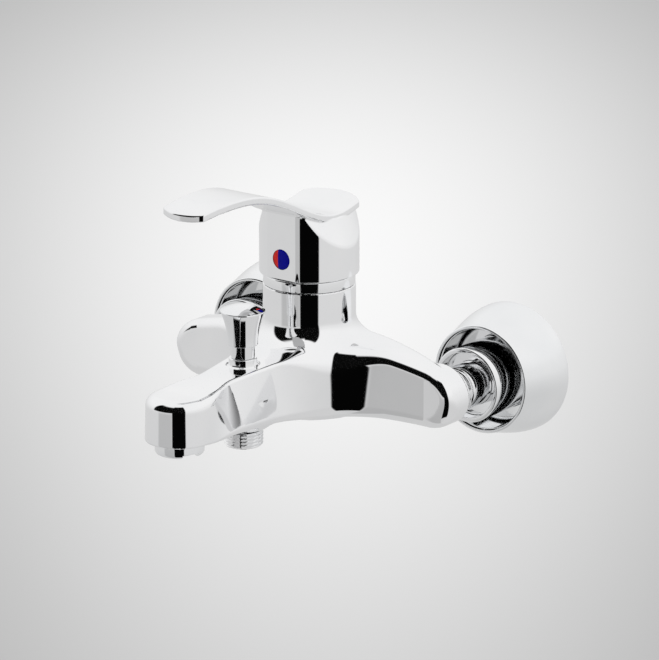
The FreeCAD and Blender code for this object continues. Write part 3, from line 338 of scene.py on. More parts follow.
def combine(obj, tools, operation="DIFFERENCE"):
    """Cuts the tools out of obj, or adds them, and removes them."""
    for tool in tools:
        mod = obj.modifiers.new("cut", "BOOLEAN")
        mod.operation = operation
        mod.solver = "MANIFOLD"
        mod.object = tool
        graph = bpy.context.evaluated_depsgraph_get()
        mesh = bpy.data.meshes.new_from_object(obj.evaluated_get(graph))
        obj.modifiers.clear()
        old = obj.data
        obj.data = mesh
        mesh.name = obj.name
        bpy.data.meshes.remove(old)
        bpy.data.objects.remove(tool)


def smooth(obj, angle=32.0):
    """Smooth shading with edges sharper than the angle kept crisp."""
    mesh = obj.data
    mesh.polygons.foreach_set("use_smooth", np.ones(len(mesh.polygons), bool))
    mesh.set_sharp_from_angle(angle=math.radians(angle))
    return obj


SKIN_DEPTH = 0.06       # a point this near to a field's zero level, in mm, is on the skin
SAME_WAY = 0.8          # least cosine between a face's normal and the field's for it to be skin


def field_normals(obj, field):
    """The skin's shading follows the field itself, and everything cut into it stays crisp."""
    mesh = obj.data
    smooth(obj, 30.0)
    co = np.empty(3 * len(mesh.vertices), np.float32)
    mesh.vertices.foreach_get("co", co)
    p = co.reshape(-1, 3).astype(float) / MM
    slope = gradient(field, p)
    length = np.linalg.norm(slope, axis=1)
    outward = slope / np.maximum(length, 1e-9)[:, None]
    skin = (np.abs(field(*p.T)) < SKIN_DEPTH) & (length > 0.5)
    loops = np.empty(len(mesh.loops), np.int32)
    mesh.loops.foreach_get("vertex_index", loops)
    starts = np.empty(len(mesh.polygons), np.int32)
    totals = np.empty(len(mesh.polygons), np.int32)
    mesh.polygons.foreach_get("loop_start", starts)
    mesh.polygons.foreach_get("loop_total", totals)
    flat = np.empty(3 * len(mesh.polygons), np.float32)
    mesh.polygons.foreach_get("normal", flat)
    order = np.concatenate([np.arange(s, s + t) for s, t in zip(starts, totals)])
    face_of = np.empty(len(loops), int)
    face_of[order] = np.repeat(np.arange(len(totals)), totals)
    agree = (outward[loops] * flat.reshape(-1, 3)[face_of]).sum(1) > SAME_WAY
    use = skin[loops] & agree
    normals = np.where(use[:, None], outward[loops], 0)
    mesh.normals_split_custom_set(normals.tolist())


def rounded(profile):
    """(radius, place) corners with an optional third number, the corner's rounding."""
    out = []
    n = len(profile)
    for i, corner in enumerate(profile):
        p = np.array(corner[:2], float)
        size = corner[2] if len(corner) > 2 else 0
        if not size:
            out.append(tuple(p))
            continue
        a = np.array(profile[i - 1][:2], float) - p
        b = np.array(profile[(i + 1) % n][:2], float) - p
        la, lb = np.linalg.norm(a), np.linalg.norm(b)
        a, b = a / la, b / lb
        half = math.acos(np.clip(a @ b, -1, 1)) / 2
        setback = min(size / math.tan(half), 0.49 * la, 0.49 * lb)
        size = setback * math.tan(half)
        inward = (a + b) / np.linalg.norm(a + b)
        centre = p + inward * size / math.sin(half)
        start, end = p + a * setback, p + b * setback
        va, vb = start - centre, end - centre
        turn = math.atan2(va[0] * vb[1] - va[1] * vb[0], va @ vb)
        steps = max(3, int(abs(turn) / math.radians(12)))
        for k in range(steps + 1):
            c, s = math.cos(turn * k / steps), math.sin(turn * k / steps)
            out.append(tuple(centre + np.array([va[0] * c - va[1] * s, va[0] * s + va[1] * c])))
    return out


THREAD_FLAT = 0.14      # of half a pitch, at the root and at the crest
THREAD_SWELL = 0.9      # below 1, the thread's sides are a little full
THREAD_RUN_IN = 0.6     # of a pitch, at each end
THREAD_STEPS = 10       # rings for each pitch


def thread_shape(phase):
    """Height of a rounded V thread, 0 at the root and 1 at the crest."""
    up = np.abs((phase % 1.0) * 2 - 1)
    return np.clip((up - THREAD_FLAT) / (1 - 2 * THREAD_FLAT), 0, 1) ** THREAD_SWELL


def weld(obj, distance=1e-7):
    bm = bmesh.new()
    bm.from_mesh(obj.data)
    bmesh.ops.remove_doubles(bm, verts=bm.verts, dist=distance)
    bmesh.ops.dissolve_degenerate(bm, edges=bm.edges, dist=distance)
    bm.to_mesh(obj.data)
    bm.free()


def lathe(name, profile, centre, axis="z", around=96, thread=None):
    """Turned piece from a closed (radius, place) outline. A real helical thread is cut where one is
    given, as (low, high, crest radius, depth, pitch)."""
    ring = rounded(profile)
    if thread:
        low, high, crest, depth, pitch = thread
        run_in = THREAD_RUN_IN * pitch
        dense = []
        for i, a in enumerate(ring):
            b = ring[(i + 1) % len(ring)]
            dense.append(a)
            if abs(a[0] - crest) < TINY and abs(b[0] - crest) < TINY:
                many = int(abs(b[1] - a[1]) / (pitch / THREAD_STEPS))
                dense += [(crest, a[1] + (b[1] - a[1]) * k / many) for k in range(1, many)]
        ring = dense
    points = []
    turn = np.arange(around) * 2 * math.pi / around
    for r, h in ring:
        radius = np.full(around, float(r))
        if thread and r > crest - TINY:
            fade = np.clip((h - low) / run_in, 0, 1) * np.clip((high - h) / run_in, 0, 1)
            radius -= depth * (1 - fade * thread_shape(h / pitch - turn / (2 * math.pi)))
        level = np.full(around, float(h))
        points.append(np.stack([radius * np.cos(turn), radius * np.sin(turn), level], 1))
    points = np.concatenate(points)
    pairs = list(zip(ring, ring[1:] + ring[:1]))
    area = sum(a[0] * b[1] - b[0] * a[1] for a, b in pairs)
    faces = []
    for i, (a, b) in enumerate(pairs):
        if a[0] < TINY and b[0] < TINY:
            continue
        j = (i + 1) % len(ring)
        for k in range(around):
            after = (k + 1) % around
            quad = [i * around + k, i * around + after, j * around + after, j * around + k]
            faces.append(quad if area > 0 else quad[::-1])
    if axis == "y":
        points = points[:, [0, 2, 1]]
        faces = [f[::-1] for f in faces]
    points = points + np.array(centre, float)
    obj = new_piece(name, points, faces)
    weld(obj)
    return smooth(obj)


def cylinder(centre, axis, low, high, radius, around=96):
    """Cutting tool along z, with its centre as (x, y), or along y, with its centre as (x, z)."""
    turn = np.arange(around) * 2 * math.pi / around
    u, v = radius * np.cos(turn), radius * np.sin(turn)
    rings = []
    for h in (low, high):
        level = np.full(around, h)
        if axis == "z":
            rings.append(np.stack([u + centre[0], v + centre[1], level], 1))
        else:
            rings.append(np.stack([v + centre[0], level, u + centre[1]], 1))
    faces = [[k, (k + 1) % around, around + (k + 1) % around, around + k] for k in range(around)]
    faces += [list(range(around))[::-1], list(range(around, 2 * around))]
    return new_piece("tool", np.concatenate(rings), faces)


def block(x0, x1, y0, y1, z0, z1):
    """Cutting tool with flat sides."""
    points = [(x, y, z) for x in (x0, x1) for y in (y0, y1) for z in (z0, z1)]
    faces = [(0, 1, 3, 2), (4, 6, 7, 5), (0, 4, 5, 1), (2, 3, 7, 6), (0, 2, 6, 4), (1, 5, 7, 3)]
    return new_piece("tool", points, faces)


# ---- finishes ------------------------------------------------------------------------------------
NOISE_LOW = 0.3         # nearly all of a noise texture lies between these two
NOISE_HIGH = 0.7
BUMP_STRENGTH = 0.4


def material(name):
    mat = bpy.data.materials.new(name)
    mat.use_nodes = True
    nodes = mat.node_tree.nodes
    return mat, nodes, mat.node_tree.links, nodes["Principled BSDF"]


def noise(nodes, links, coords, scale, detail=3.0):
    node = nodes.new("ShaderNodeTexNoise")
    node.inputs["Scale"].default_value = scale
    node.inputs["Detail"].default_value = detail
    links.new(coords, node.inputs["Vector"])
    return node


def spread(nodes, links, source, low, high):
    """Stretches a noise texture to run from low to high."""
    node = nodes.new("ShaderNodeMapRange")
    node.inputs["From Min"].default_value = NOISE_LOW
    node.inputs["From Max"].default_value = NOISE_HIGH
    node.inputs["To Min"].default_value = low
    node.inputs["To Max"].default_value = high
    links.new(source, node.inputs["Value"])
    return node.outputs["Result"]

def finish(name, low, high, rough, metallic=0.0, gloss=0.5, grain=900.0, relief=0.0, patch=35.0):
    """Procedural finish: a colour between low and high and a roughness between the two of rough, both
    varying over the surface, and a fine relief in mm. Grain and patch are the two noises' scales."""
    mat, nodes, links, shader = material(name)
    coords = nodes.new("ShaderNodeTexCoord").outputs["Object"]
    shader.inputs["Metallic"].default_value = metallic
    shader.inputs["Specular IOR Level"].default_value = gloss
    patches = noise(nodes, links, coords, patch)
    ramp = nodes.new("ShaderNodeValToRGB")
    for stop, place, colour in zip(ramp.color_ramp.elements, (NOISE_LOW, NOISE_HIGH), (low, high)):
        stop.position = place
        stop.color = (*colour, 1)
    links.new(patches.outputs["Fac"], ramp.inputs["Fac"])
    links.new(ramp.outputs["Color"], shader.inputs["Base Color"])
    fine = noise(nodes, links, coords, grain, 2.0)
    links.new(spread(nodes, links, fine.outputs["Fac"], *rough), shader.inputs["Roughness"])
    if relief:
        bump = nodes.new("ShaderNodeBump")
        bump.inputs["Strength"].default_value = BUMP_STRENGTH
        bump.inputs["Distance"].default_value = relief * MM
        links.new(fine.outputs["Fac"], bump.inputs["Height"])
        links.new(bump.outputs["Normal"], shader.inputs["Normal"])
    return mat


body_chrome = finish("body_chrome", (0.90, 0.905, 0.915), (0.94, 0.94, 0.945), (0.035, 0.06), 1.0)
handle_chrome = finish("handle_chrome", (0.91, 0.915, 0.925), (0.94, 0.94, 0.945),
                       (0.03, 0.05), 1.0, patch=50.0)
trim_chrome = finish("trim_chrome", (0.88, 0.89, 0.90), (0.93, 0.93, 0.935), (0.04, 0.075), 1.0, grain=1500.0)
flange_chrome = finish("flange_chrome", (0.87, 0.88, 0.89), (0.92, 0.925, 0.93),
                       (0.05, 0.09), 1.0, grain=600.0)
brass = finish("brass", (0.60, 0.44, 0.20), (0.72, 0.55, 0.28), (0.22, 0.36), 1.0, relief=0.02)
steel = finish("steel", (0.52, 0.52, 0.53), (0.62, 0.62, 0.63), (0.2, 0.32), 1.0, relief=0.01)
cartridge_plastic = finish("cartridge_plastic", (0.66, 0.66, 0.64), (0.74, 0.74, 0.72),
                           (0.34, 0.46), relief=0.02)
carrier_plastic = finish("carrier_plastic", (0.10, 0.12, 0.15), (0.14, 0.16, 0.19), (0.34, 0.46), relief=0.02)
aerator_plastic = finish("aerator_plastic", (0.50, 0.51, 0.52), (0.60, 0.61, 0.62), (0.3, 0.42), relief=0.02)
ceramic = finish("ceramic", (0.74, 0.72, 0.67), (0.82, 0.80, 0.76), (0.12, 0.2))
rubber = finish("rubber", (0.018, 0.018, 0.019), (0.035, 0.035, 0.037), (0.6, 0.78), relief=0.04)
index_red = finish("index_red", (0.50, 0.012, 0.008), (0.66, 0.03, 0.02),
                   (0.12, 0.2), gloss=0.12, patch=300.0)
index_blue = finish("index_blue", (0.0, 0.0, 0.19), (0.003, 0.004, 0.27),
                    (0.12, 0.2), gloss=0.08, patch=300.0)


def dress(obj, mat, body, nodes):
    """Finish, motion and the CAD nodes that a piece stands for."""
    obj.data.materials.clear()
    obj.data.materials.append(mat)
    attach(obj, body)
    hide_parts(*nodes)


# ---- body casting --------------------------------------------------------------------------------
CASTING_LOW = (-94.0, -211.5, -17.5)
CASTING_HIGH = (94.0, -56.0, 59.5)
tower_axis = (0.0, TOWER_Y)
diverter_axis = (0.0, DIVERTER_Y)
nozzle_axis = (0.0, NOZZLE_Y)
# upright bores: axis, two heights, radius and sides
BORES = [
    (tower_axis, 18.0, 44.1, 17.6, 96),         # cartridge's pocket
    (tower_axis, 44.0, 60.0, 19.35, 96),        # cartridge nut's thread
    (diverter_axis, 11.0, 13.1, 6.0, 48),       # hole in the valve's upper seat
    (diverter_axis, -1.0, 11.1, 9.0, 64),       # valve's chamber
    (diverter_axis, 13.0, 40.0, 9.0, 64),       # room for the spring and the bush
    (diverter_axis, -7.4, -0.9, 8.45, 64),      # hose nipple's spigot
    (diverter_axis, -12.0, -6.3, 10.1, 64),     # hose nipple's seal
    (nozzle_axis, -12.0, -0.5, 13.1, 96),       # aerator's shoulder
    (nozzle_axis, -0.6, 7.6, 11.65, 96),        # aerator's thread
]
TAIL_BORE = (-75.0, -58.0, 12.05, 64)           # tailpieces in the elbows, along y

points, quads = surface_net(body_field, CASTING_LOW, CASTING_HIGH, 0.9)
casting = quad_piece("body_casting", points, quads)
tools = [cylinder(axis, "z", *bore) for axis, *bore in BORES]
tools += [cylinder((side * INLET_X, AXIS_Z), "y", *TAIL_BORE) for side in (-1, 1)]
combine(casting, tools)
field_normals(casting, body_field)
dress(casting, body_chrome, "root", ["mixer_body"])

# ---- lever handle --------------------------------------------------------------------------------
HANDLE_LOW = (-28.0, -193.0, 62.0)
HANDLE_HIGH = (28.0, -54.0, 123.5)
CAVITY_FRONT_Y = -104.0
CAVITY_LOW = 60.0
SKIRT_TOP = 74.0
SKIRT_CAVITY_R = 24.75
CROWN_TOP = 86.0
CROWN_CAVITY_R = 19.5
STEM_BOSS_R = 8.0       # round the spindle's square
PAD_HALF = 6.5          # behind the index
SCREW_BORE_R = 2.55
INDEX_BORE_R = 5.55
INDEX_FLOOR_Y = -105.0
SOCKET_HALF = 4.05
SOCKET_TOP = 83.7

points, quads = surface_net(handle_field, HANDLE_LOW, HANDLE_HIGH, 0.55)
handle = quad_piece("lever_blade", points, quads)
cavity = cylinder(tower_axis, "z", CAVITY_LOW, SKIRT_TOP, SKIRT_CAVITY_R)
combine(cavity, [block(-30, 30, -130, CAVITY_FRONT_Y + 0.1, 50, 90)])
crown = cylinder(tower_axis, "z", SKIRT_TOP - 0.1, CROWN_TOP, CROWN_CAVITY_R)
stem_boss = cylinder(tower_axis, "z", 70.0, 90.0, STEM_BOSS_R, 64)
pad = block(-PAD_HALF, PAD_HALF, CAVITY_FRONT_Y, TOWER_Y, INDEX_Z - PAD_HALF, 88.0)
combine(stem_boss, [pad], "UNION")
combine(cavity, [crown], "UNION")
combine(cavity, [stem_boss])
screw_way = cylinder((0.0, INDEX_Z), "y", -110.0, -85.0, SCREW_BORE_R, 32)
seat = cylinder((0.0, INDEX_Z), "y", -110.0, INDEX_FLOOR_Y, INDEX_BORE_R, 64)
socket = block(-SOCKET_HALF, SOCKET_HALF, TOWER_Y - SOCKET_HALF, TOWER_Y + SOCKET_HALF,
               CAVITY_LOW, SOCKET_TOP)
combine(handle, [cavity, screw_way, seat, socket])
field_normals(handle, handle_field)
dress(handle, handle_chrome, "lever", ["lever_handle"])

# ---- red and blue index --------------------------------------------------------------------------
INDEX_FACE = [(0.0, -106.45), (2.0, -106.42), (3.6, -106.34), (4.8, -106.2, 0.2), (5.45, -105.95, 0.25),
              (5.45, INDEX_FLOOR_Y), (0.0, INDEX_FLOOR_Y)]
INDEX_SPLIT_X = -2.0
for node, x0, x1, mat, slot in (("hot_index", -9.0, INDEX_SPLIT_X, index_red, "index_red"),
                                ("cold_index", INDEX_SPLIT_X, 9.0, index_blue, "index_blue")):
    disc = lathe(node + "_disc", INDEX_FACE, (0.0, 0.0, INDEX_Z), "y", 64)
    combine(disc, [block(x0, x1, -110, -100, 60, 90)], "INTERSECT")
    smooth(disc)
    dress(disc, mat, "lever", [node])

# ---- collar, knob and bush -----------------------------------------------------------------------
COLLAR_PROFILE = [(14.5, 56.0), (19.3, 56.0), (19.3, 57.75), (24.3, 57.75, 0.35), (24.3, 63.6, 0.9),
                  (17.5, 63.6, 0.4), (14.5, 60.6, 0.3)]
collar = lathe("collar_trim", COLLAR_PROFILE, (0.0, TOWER_Y, 0.0), around=160)
dress(collar, trim_chrome, "root", ["collar_ring"])

KNOB_FOOT = 30.1
KNOB_WAIST = 37.1
DOME_R = 24.7
DOME_TOP = 58.4
DOME_ANGLE = 0.44       # from the knob's axis to the dome's edge, in radians
STEM_R = 3.0
STEM_TOP = 45.3
flare = curve((KNOB_WAIST, 46.5, 54.6), (8.0, 8.9, 11.55))
knob_profile = [(STEM_R, KNOB_FOOT), (6.2, KNOB_FOOT, 0.3), (6.2, KNOB_WAIST, 0.2), (8.0, KNOB_WAIST, 0.35)]
knob_profile += [(float(flare(h)), h) for h in np.linspace(38.2, 54.2, 12)]
knob_profile += [(11.8, 54.9, 0.3), (11.75, 55.5, 0.4)]
knob_profile += [(DOME_R * math.sin(a), DOME_TOP - DOME_R * (1 - math.cos(a)))
                 for a in np.linspace(DOME_ANGLE, 0.0, 10)]
knob_profile += [(0.0, STEM_TOP), (STEM_R, STEM_TOP)]
knob = lathe("diverter_pull_knob", knob_profile, (0.0, DIVERTER_Y, 0.0), around=128)
dress(knob, trim_chrome, "diverter", ["diverter_knob"])

SPRING_HIGH = 27.0      # roof of the bush's pocket, which the spring presses on
POCKET_R = 5.4
BUSH_PROFILE = [(POCKET_R, 20.5), (8.9, 20.5), (8.9, 25.4), (8.3, 25.75), (7.6, 26.4), (7.4, 27.2),
                (7.4, 30.0, 0.45), (3.1, 30.0), (3.1, SPRING_HIGH), (POCKET_R, SPRING_HIGH)]
bush = lathe("diverter_guide", BUSH_PROFILE, (0.0, DIVERTER_Y, 0.0))
dress(bush, trim_chrome, "root", ["diverter_bush"])

# ---- return spring, which the knob squeezes as it rises; here the coil keeps one fixed length ----
SPRING_LOW = 14.4
SPRING_R = 4.2
WIRE_R = 0.4
SPRING_TURNS = 6


def coil(name, centre, along=216, around=10):
    """Spring of round wire."""
    turn = np.linspace(0, 2 * math.pi * SPRING_TURNS, along + 1)[:, None]
    rise = np.linspace(SPRING_LOW + WIRE_R, SPRING_HIGH - WIRE_R, along + 1)[:, None]
    section = np.arange(around) * 2 * math.pi / around
    out = SPRING_R + WIRE_R * np.cos(section)
    points = np.stack([np.cos(turn) * out, np.sin(turn) * out, rise + WIRE_R * np.sin(section)], axis=2)
    faces = []
    for here in range(0, along * around, around):
        for k in range(around):
            after = (k + 1) % around
            faces.append([here + k, here + around + k, here + around + after, here + after])
    faces += [list(range(around)), [along * around + k for k in reversed(range(around))]]
    return smooth(new_piece(name, points.reshape(-1, 3) + np.array(centre), faces))


spring = coil("knob_return_spring", (0.0, DIVERTER_Y, 0.0))
dress(spring, steel, "root", ["diverter_spring"])
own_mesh(spring)

# ---- outlets -------------------------------------------------------------------------------------
G12_R = 10.48           # outer radius of a G 1/2 thread
G34_R = 13.22           # outer radius of a G 3/4 thread
THREAD_DEPTH = 1.16
PITCH = 1.814
NIPPLE_END = -17.5
THREAD_TOP = -7.45
SPIGOT_R = 8.4
NIPPLE_PROFILE = [(5.5, NIPPLE_END, 0.4), (G12_R, NIPPLE_END), (G12_R, THREAD_TOP), (SPIGOT_R, THREAD_TOP),
                  (SPIGOT_R, -1.0), (5.5, -1.0)]
nipple = lathe("hose_nipple", NIPPLE_PROFILE, (0.0, DIVERTER_Y, 0.0), around=144,
               thread=(NIPPLE_END, THREAD_TOP, G12_R, THREAD_DEPTH, PITCH))
dress(nipple, trim_chrome, "root", ["hose_outlet"])

AERATOR_R = 12.8
SLEEVE_PROFILE = [(9.0, -8.0, 0.3), (AERATOR_R, -8.0, 2.0), (AERATOR_R, -0.65, 0.25), (11.6, -0.65),
                  (11.6, 6.0, 0.3), (10.0, 6.0), (10.0, -7.0), (9.0, -7.0)]
SLOT_HALF = 4.6         # slots in the sleeve's foot, for a key
SLOT_TURN = -23.0
sleeve = lathe("aerator_sleeve", SLEEVE_PROFILE, (0.0, NOZZLE_Y, 0.0), around=144)
slot_tool = block(-16.0, 16.0, -SLOT_HALF, SLOT_HALF, -9.0, -5.9)
slot_tool.rotation_euler = (0, 0, math.radians(SLOT_TURN))
slot_tool.location = (0, NOZZLE_Y * MM, 0)
bpy.context.view_layer.update()
combine(sleeve, [slot_tool])
smooth(sleeve)
dress(sleeve, trim_chrome, "root", ["aerator_housing"])

# ---- wall connections ----------------------------------------------------------------------------
NUT_THREAD_R = G34_R + 0.05
NUT_R = 20.2
NUT_FRONT = -45.0
TAIL_R = 12.0
TAIL_END = -31.0
FLANGE_R = 35.3
FLANGE_FRONT = -32.0
RECESS_R = 26.9
UNION_FRONT = -29.5     # under the gasket
DISC_R = 17.5           # of the eccentric disc between the union's two threads
STUD_NECK_R = G12_R - 1.3
STUD_START = -3.1
STUD_END = 14.0
bell = curve((1.0, 11.2, 24.0, 31.0), (FLANGE_R, 34.2, 30.9, 29.4))
flange_profile = [(33.3, 0.0), (35.1, 0.0, 0.3), (FLANGE_R, -1.0)]
flange_profile += [(float(bell(d)), -float(d)) for d in np.linspace(2.5, 30.2, 14)]
flange_profile += [(29.3, FLANGE_FRONT, 0.9), (27.7, FLANGE_FRONT, 0.5), (27.4, -30.4, 0.3),
                   (RECESS_R, -30.0, 0.3), (RECESS_R, -14.0, 2.5), (NUT_THREAD_R, -14.0),
                   (NUT_THREAD_R, -12.0), (31.05, -12.0, 2.0)]
NUT_PROFILE = [(NUT_THREAD_R, -17.0), (NUT_R, -17.0, 0.8), (NUT_R, NUT_FRONT, 0.9), (17.6, NUT_FRONT, 0.5),
               (17.6, -38.0, 0.8), (TAIL_R + 0.05, -38.0, 0.3), (TAIL_R + 0.05, -34.0), (NUT_THREAD_R, -34.0)]
TAIL_PROFILE = [(8.0, -75.0), (TAIL_R, -75.0), (TAIL_R, -56.4, 0.2), (11.2, -56.0), (11.2, -54.4),
                (TAIL_R, -54.0, 0.2), (TAIL_R, -34.1), (12.9, -34.0, 0.2), (12.9, TAIL_END, 0.2),
                (8.0, TAIL_END)]
DISC_PROFILE = [(7.5, -9.0), (DISC_R, -9.9, 0.6), (DISC_R, -3.1, 0.6), (7.5, -3.0)]
STUD_PROFILE = [(7.5, -9.5), (STUD_NECK_R, -9.5), (STUD_NECK_R, -3.2), (G12_R, STUD_START),
                (G12_R, STUD_END), (7.5, STUD_END, 0.4)]
FRONT_PROFILE = [(8.0, UNION_FRONT, 0.4), (G34_R, UNION_FRONT, 0.5), (G34_R, -9.5), (8.0, -9.5)]
for word, side in (("left", -1), ("right", 1)):
    inlet = (side * INLET_X, 0.0, AXIS_Z)
    flange = lathe(word + "_wall_flange", flange_profile, inlet, "y", 192)
    dress(flange, flange_chrome, "root", [word + "_flange"])
    nut = lathe(word + "_coupling_nut", NUT_PROFILE, inlet, "y", 144)
    dress(nut, trim_chrome, "root", [word + "_union_nut"])
    tail = lathe(word + "_tail_tube", TAIL_PROFILE, inlet, "y")
    dress(tail, trim_chrome, "root", [word + "_tailpiece"])
    union = lathe(word + "_offset_union", DISC_PROFILE, (side * INLET_X, 0.0, AXIS_Z / 2), "y")
    stud = lathe("stud", STUD_PROFILE, (side * INLET_X, 0.0, 0.0), "y", 144,
                 thread=(STUD_START, STUD_END, G12_R, THREAD_DEPTH, PITCH))
    front = lathe("front", FRONT_PROFILE, inlet, "y")
    combine(union, [stud, front], "UNION")
    smooth(union)
    dress(union, trim_chrome, "root", [word + "_eccentric_union"])

# ---- finishes of the CAD nodes that stay ---------------------------------------------------------
KEPT = {
    cartridge_plastic: ["cartridge_housing", "cartridge_base"],
    carrier_plastic: ["disc_carrier", "spindle_guide"],
    ceramic: ["ceramic_disc_fixed", "ceramic_disc_moving"],
    brass: ["cartridge_nut", "lever_spindle", "diverter_stem", "diverter_valve"],
    steel: ["spindle_pivot_pin", "handle_set_screw", "stem_clip"],
    rubber: ["port_seals", "disc_seals", "diverter_gland_ring", "diverter_washers", "outlet_seal",
             "aerator_gasket", "left_inlet_gasket", "right_inlet_gasket", "left_flange_seal",
             "right_flange_seal"],
    aerator_plastic: ["aerator_insert"],
}
for mat, names in KEPT.items():
    for name in names:
        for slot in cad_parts[name].material_slots:
            slot.material = mat

# ---- camera --------------------------------------------------------------------------------------
CAMERA_AZIMUTH = 36.98
CAMERA_ELEVATION = 16.81
CAMERA_DISTANCE = 2.507
CAMERA_TARGET = Vector((-3.26, -60.0, 24.96)) * MM
FOCAL_PIXELS = 4709.2
SENSOR = 36.0
IMAGE_HEIGHT = 660.0


def heading(azimuth, elevation=0.0):
    """Direction from the object, with azimuths counted from straight in front towards the right."""
    a, e = math.radians(azimuth), math.radians(elevation)
    return Vector((math.sin(a) * math.cos(e), -math.cos(a) * math.cos(e), math.sin(e)))


camera_data = bpy.data.cameras.new("camera")
camera_data.sensor_width = SENSOR
camera_data.lens = FOCAL_PIXELS * SENSOR / IMAGE_HEIGHT
camera_data.clip_end = 100.0
camera = bpy.data.objects.new("camera", camera_data)
bpy.context.scene.collection.objects.link(camera)
back = heading(CAMERA_AZIMUTH, CAMERA_ELEVATION)
camera.location = CAMERA_TARGET + back * CAMERA_DISTANCE
camera.rotation_mode = "QUATERNION"
camera.rotation_quaternion = (-back).to_track_quat("-Z", "Y")
bpy.context.scene.camera = camera


class Graph:
    """Small helper for arithmetic in a node tree."""

    def __init__(self, tree):
        self.nodes, self.links = tree.nodes, tree.links

    def math(self, operation, a, b=0.0, c=0.0):
        node = self.nodes.new("ShaderNodeMath")
        node.operation = operation
        for socket, value in zip(node.inputs, (a, b, c)):
            if isinstance(value, (int, float)):
                socket.default_value = value
            else:
                self.links.new(value, socket)
        return node.outputs[0]

    def step(self, value, low, high, to_low=0.0, to_high=1.0):
        node = self.nodes.new("ShaderNodeMapRange")
        node.interpolation_type = "SMOOTHSTEP"
        self.links.new(value, node.inputs["Value"])
        for key, number in (("From Min", low), ("From Max", high), ("To Min", to_low), ("To Max", to_high)):
            node.inputs[key].default_value = number
        return node.outputs["Result"]


# ---- studio: one soft light all round, with cards that only reflections see ----------------------
# cards: azimuth, half width, lowest and highest elevation, softness, in degrees
DARK_CARDS = [(37.0, 22.5, -58.0, 62.0, 1.5), (-2.5, 52.5, -3.0, 56.0, 3.0)]
GREY_CARD = (-11.0, 24.0, -89.0, -9.0, 4.0)
DARK_DEPTH = 0.998
GREY_DEPTH = 0.26
TENT_LOW = 0.62
TENT_HIGH = 0.93
BRIGHT_AZIMUTH = 110.0
BRIGHT_GAIN = 0.06
FAR_EDGE_HALF = (40.0, 34.0)    # degrees round the first card's far edge, from not spared to spared

world = bpy.data.worlds.new("studio")
bpy.context.scene.world = world
world.use_nodes = True
tree = world.node_tree
tree.nodes.clear()
sky = Graph(tree)
way = tree.nodes.new("ShaderNodeSeparateXYZ")
tree.links.new(tree.nodes.new("ShaderNodeTexCoord").outputs["Generated"], way.inputs[0])
dx, dy, dz = way.outputs
level_part = sky.math("SQRT", sky.math("ADD", sky.math("MULTIPLY", dx, dx), sky.math("MULTIPLY", dy, dy)))


def cosine(degrees):
    return math.cos(math.radians(degrees))


def sine(degrees):
    return math.sin(math.radians(degrees))


def towards(azimuth):
    """Cosine of the angle on plan between a direction and an azimuth."""
    h = heading(azimuth)
    ahead = sky.math("ADD", sky.math("MULTIPLY", dx, h.x), sky.math("MULTIPLY", dy, h.y))
    return sky.math("DIVIDE", ahead, sky.math("MAXIMUM", level_part, 1e-4))


def card(azimuth, half_width, low, high, soft):
    """1 inside a card of the studio."""
    inside = sky.step(towards(azimuth), cosine(half_width + soft), cosine(half_width - soft))
    above = sky.step(dz, sine(low - soft), sine(low + soft))
    below = sky.step(dz, sine(high - 2 * soft), sine(high + 2 * soft), 1.0, 0.0)
    return sky.math("MULTIPLY", inside, sky.math("MULTIPLY", above, below))


dark = sky.math("MAXIMUM", card(*DARK_CARDS[0]), card(*DARK_CARDS[1]))
grey = card(*GREY_CARD)
bright = sky.math("MULTIPLY", sky.step(towards(BRIGHT_AZIMUTH), 0.0, 0.8), sky.step(dz, -0.1, 0.2, 1.0, 0.0))
tent = sky.step(dz, -0.6, 0.5, TENT_LOW, TENT_HIGH)
tent = sky.math("MULTIPLY", tent, sky.math("SUBTRACT", 1.0, sky.math("MULTIPLY", grey, GREY_DEPTH)))
tent = sky.math("MULTIPLY", tent, sky.math("ADD", 1.0, sky.math("MULTIPLY", bright, BRIGHT_GAIN)))
ray = tree.nodes.new("ShaderNodeLightPath").outputs
# the first dark card's far edge doesn't show low down in a reflection of a reflection
second = sky.math("COMPARE", ray["Glossy Depth"], 2.0, 0.5)
edge_azimuth = DARK_CARDS[0][0] + DARK_CARDS[0][1]
far_edge = sky.step(towards(edge_azimuth), *(cosine(half) for half in FAR_EDGE_HALF))
low_down = sky.step(dz, -0.1, 0.05, 1.0, 0.0)
spared = sky.math("MULTIPLY", second, sky.math("MULTIPLY", far_edge, low_down))
dark = sky.math("MULTIPLY", dark, sky.math("MULTIPLY", sky.math("SUBTRACT", 1.0, spared), DARK_DEPTH))
shine = sky.math("MULTIPLY", tent, sky.math("SUBTRACT", 1.0, dark))
seen = ray["Is Glossy Ray"]
level = sky.math("ADD", sky.math("MULTIPLY", seen, shine), sky.math("SUBTRACT", 1.0, seen))
light = tree.nodes.new("ShaderNodeBackground")
light.inputs["Color"].default_value = (1.0, 1.0, 1.0, 1.0)
tree.links.new(level, light.inputs["Strength"])
tree.links.new(light.outputs[0], tree.nodes.new("ShaderNodeOutputWorld").inputs[0])
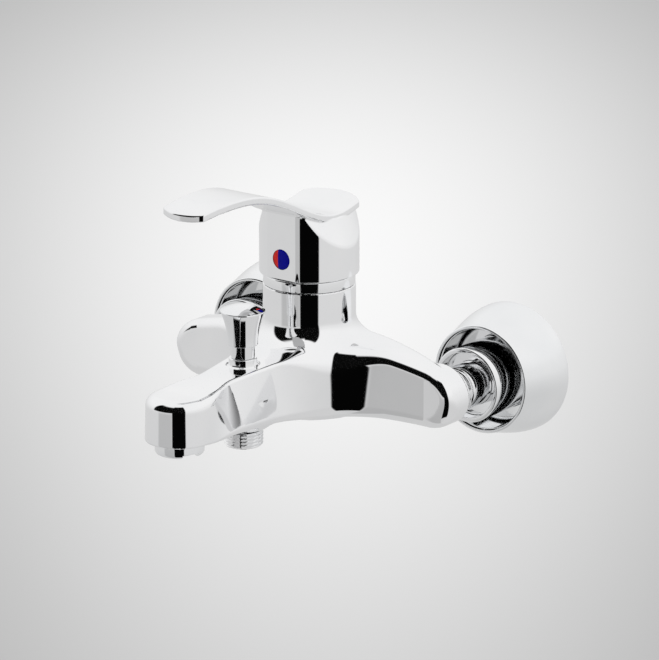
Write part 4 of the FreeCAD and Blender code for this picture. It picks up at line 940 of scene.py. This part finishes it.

# ---- floor: a painted pool of light, palest in a long oval behind the mixer, and painted a little paler again well outside it --
FLOOR_Z = -0.6
FLOOR_HALF = 20.0
POOL_X = -1.41
POOL_Y = 1.81
POOL_TURN = 37.0
POOL_WIDTH = 0.65
POOL_FLARE = 0.284
POOL_LENGTH = 2.24
PAINTED_LIGHT_TONE = (0.955, 0.455)      # painted light at the pool's middle and at its edge
OUTSIDE = (1.05, 1.8)           # where the painted light rises again, in pools' half sizes
PAINTED_OUTER_LIGHT = 0.28             # by how much the painted light rises there

corners = [(x, y, FLOOR_Z) for x, y in ((-FLOOR_HALF, -FLOOR_HALF), (FLOOR_HALF, -FLOOR_HALF),
                                        (FLOOR_HALF, FLOOR_HALF), (-FLOOR_HALF, FLOOR_HALF))]
floor = new_piece("floor", np.array(corners) / MM, [(0, 1, 2, 3)])
floor.visible_glossy = False
# the floor's colour carries a painted pool of light, not a lamp
painted_pool_of_light, nodes, links, shader = material("floor_painted_light_pool")
shader.inputs["Roughness"].default_value = 1.0
shader.inputs["Specular IOR Level"].default_value = 0.0
sums = Graph(painted_pool_of_light.node_tree)
where = nodes.new("ShaderNodeSeparateXYZ")
links.new(nodes.new("ShaderNodeTexCoord").outputs["Object"], where.inputs[0])
px = sums.math("SUBTRACT", where.outputs[0], POOL_X)
py = sums.math("SUBTRACT", where.outputs[1], POOL_Y)
ahead = heading(POOL_TURN)
along = sums.math("ADD", sums.math("MULTIPLY", px, -ahead.x / POOL_LENGTH),
                  sums.math("MULTIPLY", py, -ahead.y / POOL_LENGTH))
across = sums.math("ADD", sums.math("MULTIPLY", px, -ahead.y), sums.math("MULTIPLY", py, ahead.x))
half = sums.math("MAXIMUM", 0.2, sums.math("ADD", POOL_WIDTH, sums.math("MULTIPLY", along, POOL_FLARE)))
across = sums.math("DIVIDE", across, half)
away = sums.math("SQRT", sums.math("ADD", sums.math("MULTIPLY", across, across),
                                   sums.math("MULTIPLY", along, along)))
# painted light: the colour is brightest in the oval pool, darkens towards its edge, then grows a little paler
# again outside it
painted_light = sums.math("ADD", sums.step(away, 0.0, 1.0, *PAINTED_LIGHT_TONE), sums.step(away, *OUTSIDE, 0.0, PAINTED_OUTER_LIGHT))
mix = nodes.new("ShaderNodeCombineColor")
for socket in mix.inputs:
    links.new(painted_light, socket)
links.new(mix.outputs[0], shader.inputs["Base Color"])
floor.data.materials.append(painted_pool_of_light)

bpy.context.scene.view_settings.view_transform = "Standard"
